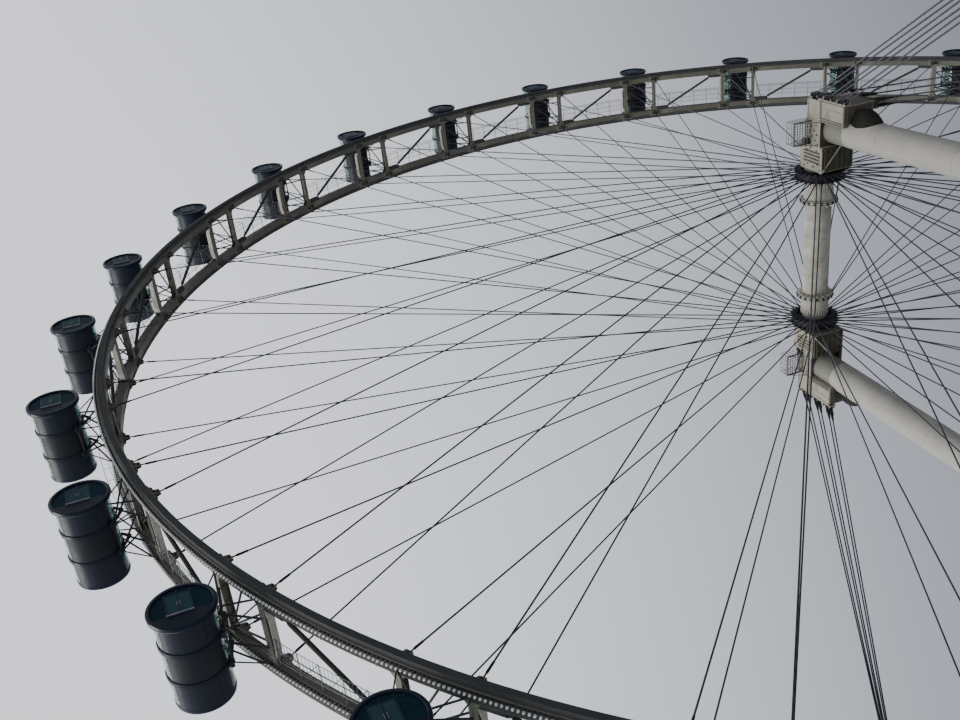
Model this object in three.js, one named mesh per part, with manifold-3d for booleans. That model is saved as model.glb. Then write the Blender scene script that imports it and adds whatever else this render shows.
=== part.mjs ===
// Giant observation wheel with 28 level cabins, a 1:10 scale model.
// Millimetres, +Z up, +Y along the axle. The origin is on the ground below the hub.
// One metre of the real wheel is 100 mm here.

import * as THREE from "three";
import { mergeVertices } from "three/addons/utils/BufferGeometryUtils.js";
import Module from "manifold-3d";

const wasm = await Module();
wasm.setup();

// Driving dimensions
const HUB_HEIGHT = 9000;
const CABIN_COUNT = 28;
const FIRST_CABIN_ANGLE = THREE.MathUtils.degToRad(24);
const CABIN_ORBIT = 7300;
const SEAT_GAP = 0.3;

const CHORD_INNER_RADIUS = 6885;
const CHORD_DEPTH = 70;
const CHORD_INSIDE_Y = 225;
const CHORD_OUTSIDE_Y = 350;
const CHORD_FACETS_PER_BAY = 2;
const RIM_SECTIONS = 14;
const SECTION_START = -0.24;
const RUNG_OFFSET = 0.15;
const RUNG_DEPTH = 60;
const WIDE_RUNG = 95;
const NARROW_RUNG = 60;
const BRACE_START = 0.27;
const BRACE_END = 0.72;
const BRACE_SIZE = 26;

const CABIN_SIDES = 10;
const CABIN_RADIUS = 187;
const CABIN_LIP_RADIUS = 210;
const CABIN_LIP_LENGTH = 40;
const CABIN_HALF_LENGTH = 335;
const CABIN_WALL = 10;
const CABIN_FLOOR_Z = -55;
const DOORWAY_LEFT = -90;
const DOORWAY_RIGHT = 65;
const DOORWAY_TOP = 135;
const RING_OFFSET = 112;
const RING_WIDTH = 32;
const RING_OUTER_RADIUS = 215;
const CRADLE_TOE = 34;

const SPOKE_SIZE = 9;
const SPOKE_FOOT_SPACING = 80;
const FLANGE_OFFSET = 775;
const FLANGE_THICKNESS = 50;
const FLANGE_EDGE_THICKNESS = 104;
const FLANGE_EDGE_START = 168;
const FLANGE_RADIUS = 222;
const FLANGE_BORE = 120;
const SPOKE_FOOT_RADIUS = 200;
const SPOKE_LEAD = THREE.MathUtils.degToRad(6.2);

const SHAFT_SIDES = 16;
const SPINDLE_RADIUS = 100;
const HUB_TUBE_RADIUS = 125;
const HUB_COLLAR_RADIUS = 176;
const HUB_CONE_RADIUS = 150;
const HUB_HALF_LENGTH = 812;
const SPINDLE_HALF_LENGTH = 1100;

const NECK_START = 822;
const NECK_RADIUS = 150;
const BEARING_START = 860;
const BEARING_HALF_WIDTH = 180;
const BEARING_TOP_RADIUS = 187;
const BEARING_BOTTOM = -245;
const SADDLE_START = 1105;
const SADDLE_HALF_WIDTH = 172;
const SADDLE_TOP = 20;
const HEAD_BOTTOM = -195;
const HEAD_START = 1340;
const HEAD_END = 1540;
const HEAD_HALF_WIDTH = 175;
const HEAD_TOP = -5;

const LEG_RADIUS = 142;
const LEG_TOP_Y = 1252;
const LEG_FOOT_Y = 1530;
const FOOT_RADIUS = 235;
const FOOT_HEIGHT = 70;
const HAUNCH_HALF_WIDTH = 165;
const HAUNCH_BOTTOM = -505;
const KNUCKLE_BELOW_HUB = 620;
const KNUCKLE_SIZE = [150, 250, 240];

const CABLE_SIZE = 12;
const ANCHOR_PAIR_SPACING = 180;
const ANCHOR_LENGTH = 480;
const ANCHOR_WIDTH = 190;
const ANCHOR_HEIGHT = 90;
const LEFT_STAYS = {
  anchor: [-4560, 5430],
  bar: { x: [-165, -95], outward: [HEAD_END + SEAT_GAP, HEAD_END + 48], up: [-520, -10] },
  top: [-130, 1564, -264],
  pairDrop: 190,
  twin: [0, 0, 58],
  anchorTwinSpacing: 50,
};
const RIGHT_STAYS = {
  anchor: [4220, 3600],
  bar: { x: [HEAD_HALF_WIDTH + SEAT_GAP, HEAD_HALF_WIDTH + 48], outward: [1460, 1540], up: [-491, -6] },
  top: [199, 1500, -245],
  pairDrop: 208,
  twin: [0, 55, 0],
  anchorTwinSpacing: 110,
};

const PLATFORM_START = 1115;
const PLATFORM_END = 1335;
const PLATFORM_WIDTH = 190;
const RAIL_HEIGHT = 115;
const RAIL_SIZE = 7;

const BAY_ANGLE = (2 * Math.PI) / CABIN_COUNT;
const HUB = new THREE.Vector3(0, 0, HUB_HEIGHT);

// Colours of the weathered paint, glass and steel
const rimPaint = new THREE.MeshStandardMaterial({ color: 0x8d9088, roughness: 0.6, metalness: 0.1 });
const cabinShell = new THREE.MeshStandardMaterial({ color: 0x232a38, roughness: 0.35, metalness: 0.2 });
const cableSteel = new THREE.MeshStandardMaterial({ color: 0x2b2d36, roughness: 0.5, metalness: 0.6 });
const hubPaint = new THREE.MeshStandardMaterial({ color: 0xb9b8ad, roughness: 0.5, metalness: 0.1 });
const housingPaint = new THREE.MeshStandardMaterial({ color: 0xa5a08f, roughness: 0.6, metalness: 0.1 });
const legPaint = new THREE.MeshStandardMaterial({ color: 0xc4c0b4, roughness: 0.45, metalness: 0.05 });

// Turns a closed three.js geometry into a solid that can be joined and cut
function solidOf(geometry) {
  const bare = geometry.index ? geometry.clone() : geometry;
  bare.deleteAttribute("normal");
  bare.deleteAttribute("uv");
  const merged = mergeVertices(bare, 1e-4);
  return new wasm.Manifold(
    new wasm.Mesh({
      numProp: 3,
      vertProperties: new Float32Array(merged.attributes.position.array),
      triVerts: new Uint32Array(merged.index.array),
    }),
  );
}

function meshOf(name, solid, material) {
  const { vertProperties, triVerts } = solid.getMesh();
  const geometry = new THREE.BufferGeometry();
  geometry.setAttribute("position", new THREE.BufferAttribute(vertProperties, 3));
  geometry.setIndex(new THREE.BufferAttribute(triVerts, 1));
  geometry.computeVertexNormals();
  const mesh = new THREE.Mesh(geometry, material);
  mesh.name = name;
  return mesh;
}

function joined(solids) {
  return solids.reduce((sum, solid) => sum.add(solid));
}

// A straight bar of few sides between two points
function bar(from, to, size, sides = 4) {
  const axis = new THREE.Vector3().subVectors(to, from);
  const radius = size / 2 / Math.cos(Math.PI / sides);
  const geometry = new THREE.CylinderGeometry(radius, radius, axis.length(), sides);
  geometry.rotateY(Math.PI / sides);
  const turn = new THREE.Quaternion().setFromUnitVectors(new THREE.Vector3(0, 1, 0), axis.normalize());
  geometry.applyQuaternion(turn);
  geometry.translate((from.x + to.x) / 2, (from.y + to.y) / 2, (from.z + to.z) / 2);
  return solidOf(geometry);
}

function block(low, high) {
  const geometry = new THREE.BoxGeometry(high[0] - low[0], high[1] - low[1], high[2] - low[2]);
  geometry.translate((low[0] + high[0]) / 2, (low[1] + high[1]) / 2, (low[2] + high[2]) / 2);
  return solidOf(geometry);
}

// A turned body about the axle: the profile is a list of [radius, y] that starts and ends on the axis
function turned(profile, sides) {
  const points = profile.map(([radius, y]) => new THREE.Vector2(radius, y));
  return solidOf(new THREE.LatheGeometry(points, sides));
}

// The point of the wheel at an angle, a radius, a distance along the rim and a distance along the axle
function onWheel(angle, radius, along, y) {
  return new THREE.Vector3(
    radius * Math.cos(angle) - along * Math.sin(angle),
    y,
    HUB_HEIGHT + radius * Math.sin(angle) + along * Math.cos(angle),
  );
}

function cabinAngle(number) {
  return FIRST_CABIN_ANGLE + number * BAY_ANGLE;
}

// Rim: two box chords joined by rungs and braces, with two rings that hold each cabin

// Corner angles of the faceted rim between two positions counted in cabins
function rimCorners(start, end) {
  const facets = Math.round((end - start) * CHORD_FACETS_PER_BAY);
  return Array.from({ length: facets + 1 }, (_, i) => cabinAngle(start + i / CHORD_FACETS_PER_BAY));
}

function chordArc(start, end, side) {
  const corners = rimCorners(start, end);
  const seam = SEAT_GAP / 2 / CHORD_INNER_RADIUS;
  corners[0] += seam;
  corners[corners.length - 1] -= seam;
  const at = (radius) => (angle) => new THREE.Vector2(radius * Math.cos(angle), radius * Math.sin(angle));
  const outer = corners.map(at(CHORD_INNER_RADIUS + CHORD_DEPTH));
  const inner = corners.map(at(CHORD_INNER_RADIUS));
  const geometry = new THREE.ExtrudeGeometry(new THREE.Shape([...outer, ...inner.reverse()]), {
    depth: CHORD_OUTSIDE_Y - CHORD_INSIDE_Y,
    bevelEnabled: false,
  });
  geometry.rotateX(Math.PI / 2);
  geometry.translate(0, side > 0 ? CHORD_OUTSIDE_Y : -CHORD_INSIDE_Y, HUB_HEIGHT);
  return solidOf(geometry);
}

// The space inside the rim that the spokes fill, up to a seat gap from the chords
function insideRim() {
  const radius = CHORD_INNER_RADIUS - SEAT_GAP / Math.cos(BAY_ANGLE / 2 / CHORD_FACETS_PER_BAY);
  const corners = rimCorners(SECTION_START, SECTION_START + CABIN_COUNT).slice(0, -1);
  const outline = corners.map(
    (angle) => new THREE.Vector2(radius * Math.cos(angle), radius * Math.sin(angle)),
  );
  const depth = 2 * (FLANGE_OFFSET + FLANGE_EDGE_THICKNESS);
  const geometry = new THREE.ExtrudeGeometry(new THREE.Shape(outline), { depth, bevelEnabled: false });
  geometry.rotateX(Math.PI / 2);
  geometry.translate(0, depth / 2, HUB_HEIGHT);
  return solidOf(geometry);
}

function rung(angle, along, width) {
  const middle = CHORD_INNER_RADIUS + CHORD_DEPTH / 2;
  const reach = CHORD_INSIDE_Y + 20;
  const geometry = new THREE.BoxGeometry(RUNG_DEPTH, 2 * reach, width);
  geometry.rotateY(-angle);
  const centre = onWheel(angle, middle, along, 0);
  geometry.translate(centre.x, centre.y, centre.z);
  return solidOf(geometry);
}

// A plate ring round the cabin with two feet that stand on the rungs below it.
// At rest the flats of its bore face the cabin's corners, so the cabin sits in it with a running gap
// and can still turn right round.
function cradlePlate(angle, y) {
  const inner = (CABIN_RADIUS + SEAT_GAP) / Math.cos(Math.PI / CABIN_SIDES);
  const middle = CHORD_INNER_RADIUS + CHORD_DEPTH / 2;
  const footDrop = CABIN_ORBIT - middle;
  const footReach = RUNG_OFFSET * BAY_ANGLE * middle;
  const ringPoint = (radius, degrees) => {
    const turn = THREE.MathUtils.degToRad(degrees);
    return new THREE.Vector2(radius * Math.cos(turn), radius * Math.sin(turn));
  };
  const step = 360 / CABIN_SIDES;
  const outline = [];
  for (let degrees = -step; degrees <= 180 + step; degrees += step) {
    outline.push(ringPoint(RING_OUTER_RADIUS, degrees));
  }
  outline.push(
    new THREE.Vector2(-footReach - CRADLE_TOE / 2, -footDrop),
    new THREE.Vector2(-footReach + CRADLE_TOE / 2, -footDrop),
    ringPoint(RING_OUTER_RADIUS, 270),
    new THREE.Vector2(footReach - CRADLE_TOE / 2, -footDrop),
    new THREE.Vector2(footReach + CRADLE_TOE / 2, -footDrop),
  );
  const shape = new THREE.Shape(outline);
  const hole = [];
  const cornerTurn = 90 + step / 2 + 90 - THREE.MathUtils.radToDeg(angle);
  for (let i = 0; i < CABIN_SIDES; i += 1) {
    hole.push(ringPoint(inner, cornerTurn + i * step));
  }
  shape.holes.push(new THREE.Path(hole));
  const geometry = new THREE.ExtrudeGeometry(shape, { depth: RING_WIDTH, bevelEnabled: false });
  geometry.rotateX(Math.PI / 2);
  geometry.translate(0, RING_WIDTH / 2, 0);
  geometry.rotateY(Math.PI / 2 - angle);
  const centre = onWheel(angle, CABIN_ORBIT, 0, y);
  geometry.translate(centre.x, centre.y, centre.z);
  return solidOf(geometry);
}

function rimSection(number) {
  const cabins = CABIN_COUNT / RIM_SECTIONS;
  const first = number * cabins;
  const start = first + SECTION_START;
  const end = start + cabins;
  const middle = CHORD_INNER_RADIUS + CHORD_DEPTH / 2;
  const rungReach = RUNG_OFFSET * BAY_ANGLE * middle;
  const pieces = [chordArc(start, end, -1), chordArc(start, end, 1)];
  for (let i = 0; i < cabins; i += 1) {
    const angle = cabinAngle(first + i);
    pieces.push(rung(angle, rungReach, WIDE_RUNG), rung(angle, -rungReach, NARROW_RUNG));
    pieces.push(cradlePlate(angle, -RING_OFFSET), cradlePlate(angle, RING_OFFSET));
    const from = onWheel(cabinAngle(first + i + BRACE_START), middle, 0, -CHORD_INSIDE_Y - 15);
    const to = onWheel(cabinAngle(first + i + BRACE_END), middle, 0, CHORD_INSIDE_Y + 15);
    pieces.push(bar(from, to, BRACE_SIZE));
  }
  return meshOf(`rim_section_${number + 1}`, joined(pieces), rimPaint);
}

// Cabins: a glazed drum that people enter through its near end, with a floor on its solid underside

function cabin(number) {
  const lipEnd = CABIN_HALF_LENGTH - CABIN_LIP_LENGTH;
  const hull = turned(
    [
      [0, -CABIN_HALF_LENGTH],
      [CABIN_LIP_RADIUS, -CABIN_HALF_LENGTH],
      [CABIN_RADIUS, -lipEnd],
      [CABIN_RADIUS, CABIN_HALF_LENGTH],
      [0, CABIN_HALF_LENGTH],
    ],
    CABIN_SIDES,
  );
  const roomRadius = CABIN_RADIUS - CABIN_WALL;
  const room = turned(
    [
      [0, CABIN_WALL - CABIN_HALF_LENGTH],
      [roomRadius, CABIN_WALL - CABIN_HALF_LENGTH],
      [roomRadius, CABIN_HALF_LENGTH - 2 * CABIN_WALL],
      [0, CABIN_HALF_LENGTH - 2 * CABIN_WALL],
    ],
    CABIN_SIDES,
  );
  const aboveFloor = block(
    [-CABIN_RADIUS, -CABIN_HALF_LENGTH, CABIN_FLOOR_Z],
    [CABIN_RADIUS, CABIN_HALF_LENGTH, CABIN_RADIUS],
  );
  const doorway = block(
    [DOORWAY_LEFT, -CABIN_HALF_LENGTH - 5, CABIN_FLOOR_Z],
    [DOORWAY_RIGHT, -CABIN_HALF_LENGTH + 2 * CABIN_WALL, DOORWAY_TOP],
  );
  const shell = hull.subtract(room.intersect(aboveFloor)).subtract(doorway);
  const mesh = meshOf(`cabin_${String(number + 1).padStart(2, "0")}`, shell, cabinShell);
  mesh.position.copy(onWheel(cabinAngle(number), CABIN_ORBIT, 0, 0));
  return mesh;
}

// Spokes: the thick edge of each flange carries a cable from every second rung end on both chords

function spokeSet(side) {
  const bore = FLANGE_BORE + SEAT_GAP / Math.cos(Math.PI / SHAFT_SIDES);
  const flange = turned(
    [
      [bore, -FLANGE_THICKNESS / 2],
      [FLANGE_EDGE_START, -FLANGE_THICKNESS / 2],
      [FLANGE_EDGE_START, -FLANGE_EDGE_THICKNESS / 2],
      [FLANGE_RADIUS, -FLANGE_EDGE_THICKNESS / 2],
      [FLANGE_RADIUS, FLANGE_EDGE_THICKNESS / 2],
      [FLANGE_EDGE_START, FLANGE_EDGE_THICKNESS / 2],
      [FLANGE_EDGE_START, FLANGE_THICKNESS / 2],
      [bore, FLANGE_THICKNESS / 2],
      [bore, -FLANGE_THICKNESS / 2],
    ],
    SHAFT_SIDES,
  ).translate([0, side * FLANGE_OFFSET, HUB_HEIGHT]);
  const chordMiddle = (CHORD_INSIDE_Y + CHORD_OUTSIDE_Y) / 2;
  const cables = [];
  for (let i = 0; i < CABIN_COUNT; i += 1) {
    const angle = cabinAngle(i - side * RUNG_OFFSET);
    for (const chord of [-1, 1]) {
      const rimPoint = onWheel(angle, CHORD_INNER_RADIUS, 0, chord * chordMiddle);
      const footY = side * FLANGE_OFFSET + (chord * SPOKE_FOOT_SPACING) / 2;
      const foot = onWheel(angle + chord * SPOKE_LEAD, SPOKE_FOOT_RADIUS, 0, footY);
      cables.push(bar(foot, rimPoint, SPOKE_SIZE, 3));
    }
  }
  const name = side < 0 ? "near_spokes" : "far_spokes";
  return meshOf(name, joined([flange, ...cables]).intersect(insideRim()), cableSteel);
}

// Hub: a tube with two collars and a cone up to each flange, that turns on the fixed spindle

function hub() {
  const halfProfile = [
    [HUB_TUBE_RADIUS, 0],
    [HUB_TUBE_RADIUS, 485],
    [HUB_COLLAR_RADIUS, 485],
    [HUB_COLLAR_RADIUS, 530],
    [HUB_CONE_RADIUS, 535],
    [FLANGE_BORE, 700],
    [FLANGE_BORE, HUB_HALF_LENGTH],
  ];
  const mirrored = halfProfile.map(([radius, y]) => [radius, -y]).reverse();
  const skin = [...mirrored.slice(0, -1), ...halfProfile.slice(1)];
  const profile = [[0, -HUB_HALF_LENGTH], ...skin, [0, HUB_HALF_LENGTH]];
  const boreRadius = (SPINDLE_RADIUS + SEAT_GAP) / Math.cos(Math.PI / SHAFT_SIDES);
  const boreEnd = HUB_HALF_LENGTH + 10;
  const boreProfile = [
    [0, -boreEnd],
    [boreRadius, -boreEnd],
    [boreRadius, boreEnd],
    [0, boreEnd],
  ];
  const bore = turned(boreProfile, SHAFT_SIDES);
  const body = turned(profile, SHAFT_SIDES).subtract(bore).translate(HUB.toArray());
  return meshOf("hub", body, hubPaint);
}

// The spindle's corners face the flats of the hub's bore at rest
function spindle() {
  const profile = [
    [0, -SPINDLE_HALF_LENGTH],
    [SPINDLE_RADIUS, -SPINDLE_HALF_LENGTH],
    [SPINDLE_RADIUS, SPINDLE_HALF_LENGTH],
    [0, SPINDLE_HALF_LENGTH],
  ];
  const body = turned(profile, SHAFT_SIDES).rotate([0, 180 / SHAFT_SIDES, 0]).translate(HUB.toArray());
  return meshOf("spindle", body, cableSteel);
}

// Column heads: a bearing box round each end of the spindle, a saddle over the leg, and an end block

// A block given by its distances from the hub: along X, outward along the axle, and up
function hubBlock(side, halfWidth, outward, up) {
  const ends = outward.map((y) => side * y);
  return block(
    [-halfWidth, Math.min(...ends), HUB_HEIGHT + up[0]],
    [halfWidth, Math.max(...ends), HUB_HEIGHT + up[1]],
  );
}

// A turned part of the column head between two distances from the hub
function axleRound(side, radius, outward) {
  const ends = outward.map((y) => side * y);
  const low = Math.min(...ends);
  const high = Math.max(...ends);
  const profile = [
    [0, low],
    [radius, low],
    [radius, high],
    [0, high],
  ];
  return turned(profile, SHAFT_SIDES)
    .rotate([0, 180 / SHAFT_SIDES, 0])
    .translate(HUB.toArray());
}

function housing(side) {
  const bearing = [BEARING_START, SADDLE_START + 1];
  const bore = SPINDLE_RADIUS + SEAT_GAP / Math.cos(Math.PI / SHAFT_SIDES);
  const body = joined([
    axleRound(side, NECK_RADIUS, [NECK_START, BEARING_START + 10]),
    axleRound(side, BEARING_TOP_RADIUS, bearing),
    hubBlock(side, BEARING_HALF_WIDTH, bearing, [BEARING_BOTTOM, 30]),
    hubBlock(side, SADDLE_HALF_WIDTH, [SADDLE_START, HEAD_START + 1], [HEAD_BOTTOM, SADDLE_TOP]),
    hubBlock(side, HEAD_HALF_WIDTH, [HEAD_START, HEAD_END], [HEAD_BOTTOM, HEAD_TOP]),
  ]).subtract(axleRound(side, bore, [NECK_START - 10, SPINDLE_HALF_LENGTH + SEAT_GAP]));
  return meshOf(side < 0 ? "near_bearing_housing" : "far_bearing_housing", body, housingPaint);
}

// Legs: one big tube under each column head, with a foot on the ground, a haunch below the end block
// and a dark rounded knuckle on its outer side

function leg(side) {
  const underside = HUB_HEIGHT + HEAD_BOTTOM - SEAT_GAP;
  const foot = new THREE.Vector3(0, side * LEG_FOOT_Y, 0);
  const head = new THREE.Vector3(0, side * LEG_TOP_Y, underside + 60);
  const tube = bar(foot, head, 2 * LEG_RADIUS, 16);
  const footGeometry = new THREE.CylinderGeometry(FOOT_RADIUS, FOOT_RADIUS, FOOT_HEIGHT, 16);
  footGeometry.rotateX(Math.PI / 2);
  footGeometry.translate(foot.x, foot.y, FOOT_HEIGHT / 2);
  const haunch = hubBlock(side, HAUNCH_HALF_WIDTH, [HEAD_START, HEAD_END], [HAUNCH_BOTTOM, HEAD_BOTTOM]);
  const knuckleY = side * (LEG_TOP_Y + 15);
  const knuckleGeometry = new THREE.SphereGeometry(1, 12, 8);
  knuckleGeometry.scale(...KNUCKLE_SIZE);
  knuckleGeometry.translate(0, knuckleY, HUB_HEIGHT - KNUCKLE_BELOW_HUB);
  const outerHalf = hubBlock(side, 500, [Math.abs(knuckleY), 2000], [-2000, 0]);
  const knuckle = solidOf(knuckleGeometry).intersect(outerHalf);
  const room = block([-1000, -3000, 0], [1000, 3000, underside]);
  const body = joined([tube, solidOf(footGeometry), haunch, knuckle]).intersect(room);
  return meshOf(side < 0 ? "near_leg" : "far_leg", body, legPaint);
}

// Stays: six cables in three pairs from an upright head bar down to a ground anchor. The left bar is on
// the outer end of the column head, the right bar on its right side.

function staySet(side, direction) {
  const design = direction < 0 ? LEFT_STAYS : RIGHT_STAYS;
  const { anchor, bar: head, top, pairDrop, twin, anchorTwinSpacing } = design;
  const [groundX, outward] = anchor;
  const ends = head.outward.map((y) => side * y);
  const headBar = block(
    [head.x[0], Math.min(...ends), HUB_HEIGHT + head.up[0]],
    [head.x[1], Math.max(...ends), HUB_HEIGHT + head.up[1]],
  );
  const along = new THREE.Vector3(0.917 * -direction, 0.4 * side, 0).normalize();
  const across = new THREE.Vector3(-along.y, along.x, 0);
  const anchorGeometry = new THREE.BoxGeometry(ANCHOR_LENGTH, ANCHOR_WIDTH, ANCHOR_HEIGHT);
  anchorGeometry.rotateZ(Math.atan2(along.y, along.x));
  anchorGeometry.translate(groundX, side * outward, ANCHOR_HEIGHT / 2);
  const cables = [];
  for (const pair of [-1, 0, 1]) {
    for (const half of [-0.5, 0.5]) {
      const start = new THREE.Vector3(
        top[0] + half * twin[0],
        side * (top[1] + half * twin[1]),
        HUB_HEIGHT + top[2] - pair * pairDrop - half * twin[2],
      );
      const end = new THREE.Vector3(groundX, side * outward, ANCHOR_HEIGHT - 30)
        .addScaledVector(along, -pair * ANCHOR_PAIR_SPACING)
        .addScaledVector(across, half * anchorTwinSpacing);
      cables.push(bar(start, end, CABLE_SIZE));
    }
  }
  const name = `${side < 0 ? "near" : "far"}_${direction < 0 ? "left" : "right"}_stays`;
  return meshOf(name, joined([headBar, solidOf(anchorGeometry), ...cables]), cableSteel);
}

// Maintenance platforms: a railed deck on the left of each saddle

function platform(side) {
  const inner = -SADDLE_HALF_WIDTH - SEAT_GAP;
  const outer = inner - PLATFORM_WIDTH;
  const deckTop = HUB_HEIGHT - 60;
  const railTop = deckTop + RAIL_HEIGHT;
  const ends = [side * PLATFORM_START, side * PLATFORM_END];
  const deck = block([outer, Math.min(...ends), deckTop - 14], [inner, Math.max(...ends), deckTop]);
  const inset = RAIL_SIZE;
  const corners = [
    [inner - inset, PLATFORM_START + inset],
    [outer + inset, PLATFORM_START + inset],
    [outer + inset, PLATFORM_END - inset],
    [inner - inset, PLATFORM_END - inset],
  ];
  const at = ([x, y], z) => new THREE.Vector3(x, side * y, z);
  const pieces = [deck];
  corners.forEach((corner, i) => {
    pieces.push(bar(at(corner, deckTop - 5), at(corner, railTop), RAIL_SIZE));
    if (i > 0) {
      pieces.push(bar(at(corners[i - 1], railTop - 4), at(corner, railTop - 4), RAIL_SIZE - 1));
    }
  });
  return meshOf(side < 0 ? "near_platform" : "far_platform", joined(pieces), housingPaint);
}

const wheel = new THREE.Group();
for (let i = 0; i < RIM_SECTIONS; i += 1) {
  wheel.add(rimSection(i));
}
wheel.add(hub(), spokeSet(-1), spokeSet(1));
for (let i = 0; i < CABIN_COUNT; i += 1) {
  wheel.add(cabin(i));
}

const structure = new THREE.Group();
structure.add(spindle());
for (const side of [-1, 1]) {
  structure.add(housing(side), leg(side), platform(side), staySet(side, -1), staySet(side, 1));
}

const group = new THREE.Group();
group.add(wheel, structure);
group.updateMatrixWorld(true);

export default group;
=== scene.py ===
import math

import bpy
from mathutils import Matrix, Vector


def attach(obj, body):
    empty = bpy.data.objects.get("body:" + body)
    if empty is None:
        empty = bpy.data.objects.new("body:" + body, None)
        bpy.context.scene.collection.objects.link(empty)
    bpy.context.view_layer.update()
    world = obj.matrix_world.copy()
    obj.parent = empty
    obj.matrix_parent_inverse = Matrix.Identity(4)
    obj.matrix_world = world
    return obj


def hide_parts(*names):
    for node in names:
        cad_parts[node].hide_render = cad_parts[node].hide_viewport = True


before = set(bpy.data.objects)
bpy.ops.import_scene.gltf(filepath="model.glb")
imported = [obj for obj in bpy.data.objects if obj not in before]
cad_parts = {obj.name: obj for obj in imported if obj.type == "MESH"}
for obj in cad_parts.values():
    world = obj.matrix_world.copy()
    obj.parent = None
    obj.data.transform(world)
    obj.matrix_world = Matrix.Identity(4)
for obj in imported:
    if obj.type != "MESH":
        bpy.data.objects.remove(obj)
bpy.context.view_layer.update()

# Sizes in metres of the 1:10 model, most of them as in the CAD source
HUB_HEIGHT = 9.0
CABIN_COUNT = 28
BAY = 2 * math.pi / CABIN_COUNT
FIRST_CABIN = math.radians(24)
CABIN_ORBIT = 7.3
BAY_START = -0.24
CHORD_IN = 6.885
CHORD_OUT = 6.955
CHORD_Y = (0.225, 0.315)
FLANGE_Y = 0.35
CRADLE_FOOT = CHORD_OUT - 0.004
RUNG_AT = 0.15
RUNG_RADIUS = 6.92
CABIN_RADIUS = 0.186
LIP_RADIUS = 0.2095
LIP_DEPTH = 0.04
CABIN_HALF = 0.335
FLOOR_Z = -0.055
DOOR_X = (-0.088, 0.065)
DOOR_TOP = 0.135
BELLY_ARC = (-148, -32)
RING_Y = 0.112
RING_IN = 0.1875
RING_OUT = 0.1935
CARRIER_AT = math.radians(48)
SPOKE_FLANGE_Y = 0.775
FLANGE_RADIUS = 0.22
FOOT_SPACING = 0.08
SPOKE_FOOT = 0.222
SPOKE_LEAD = math.radians(5.6)
FLANGE_BORE = 0.1205
SHAFT_RADIUS = 0.0985
SHAFT_HALF = 1.1
NECK = (0.822, 0.862)
BEARING = (0.86, 1.105)
BEARING_HALF = 0.18
BEARING_TOP = 0.187
BEARING_BOTTOM = -0.245
SADDLE = (1.105, 1.34)
SADDLE_HALF = 0.172
HEAD = (1.34, 1.54)
HEAD_HALF = 0.175
HEAD_TOP = -0.005
HEAD_BOTTOM = -0.195
HAUNCH_HALF = 0.165
HAUNCH_BOTTOM = -0.505
LEG_RADIUS = 0.142
LEG_TOP = 1.252
LEG_FOOT = 1.53
LEG_SHADE = 0.46
KNUCKLE_UP = -0.62
KNUCKLE_OUT = LEG_TOP + 0.015
KNUCKLE_SIZE = (0.116, 0.25, 0.235)
STAYS = {
    "left": {
        "way": -1, "anchor": (-4.56, 5.43), "bar": ((-0.165, -0.095), (1.5403, 1.588), (-0.52, -0.01)),
        "top": (-0.13, 1.564, -0.264), "drop": 0.19, "twin": (0, 0, 0.058), "spread": 0.05,
    },
    "right": {
        "way": 1, "anchor": (4.22, 3.6), "bar": ((0.1753, 0.223), (1.46, 1.54), (-0.491, -0.006)),
        "top": (0.199, 1.5, -0.245), "drop": 0.208, "twin": (0, 0.055, 0), "spread": 0.11,
    },
}
ANCHOR = (0.48, 0.19, 0.09)
ANCHOR_STEP = 0.18
DECK_OUT = (1.115, 1.335)
DECK_X = (-0.3623, -0.1723)
DECK_UP = -0.06
AXLE = Vector((0, 0, HUB_HEIGHT))
SIDES = {"near": -1, "far": 1}


# Mesh building

class Form:
    """Faces gathered for one mesh, each with its material number and its texture coordinates."""

    def __init__(self):
        self.verts = []
        self.faces = []
        self.mats = []
        self.uvs = []

    def add(self, verts, faces, mat=0, uvs=None):
        base = len(self.verts)
        self.verts.extend(tuple(v) for v in verts)
        for i, face in enumerate(faces):
            self.faces.append([base + n for n in face])
            self.mats.append(mat)
            self.uvs.extend(uvs[i] if uvs else [(0.0, 0.0)] * len(face))


def linked(obj):
    """The object, now in the scene."""
    bpy.context.scene.collection.objects.link(obj)
    return obj


def object_from(name, form, materials):
    mesh = bpy.data.meshes.new(name)
    mesh.from_pydata(form.verts, [], form.faces)
    for material in materials:
        mesh.materials.append(material)
    mesh.polygons.foreach_set("material_index", form.mats)
    layer = mesh.uv_layers.new(name="UVMap")
    layer.data.foreach_set("uv", [c for uv in form.uvs for c in uv])
    mesh.polygons.foreach_set("use_smooth", [True] * len(mesh.polygons))
    mesh.set_sharp_from_angle(angle=math.radians(32))
    mesh.update()
    return linked(bpy.data.objects.new(name, mesh))


def wheel_copies(name, form, materials):
    """One mesh shown at every cabin's place, each with its number from 0 and its angle."""
    first = object_from(f"{name}_01", form, materials)
    for i in range(CABIN_COUNT):
        obj = linked(bpy.data.objects.new(f"{name}_{i + 1:02d}", first.data)) if i else first
        yield i, FIRST_CABIN + i * BAY, obj


def around(angle, radius, y=0.0):
    """A point of a circle in the plane of the wheel, moved by y along the axle."""
    return Vector((radius * math.cos(angle), y, radius * math.sin(angle)))


def polar(angle):
    """The radial, tangent and axle directions at an angle round the axle."""
    radial = around(angle, 1)
    return radial, Vector((-radial.z, 0, radial.x)), Vector((0, 1, 0))


def turning(outline):
    """Twice the area of an outline, above zero when it runs from its first axis to its second."""
    return sum(a[0] * b[1] - b[0] * a[1] for a, b in zip(outline, outline[1:] + outline[:1]))


def span(middle, half):
    """The two limits of a length with this middle."""
    return middle - half, middle + half


def sleeve(form, start, reach, profile, sides, mat, caps=True):
    """A stepped round fitting along a line, from pairs of (distance from start, radius)."""
    tube(form, [start + reach * d for d, r in profile], [r for d, r in profile], sides, mat, caps)


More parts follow.
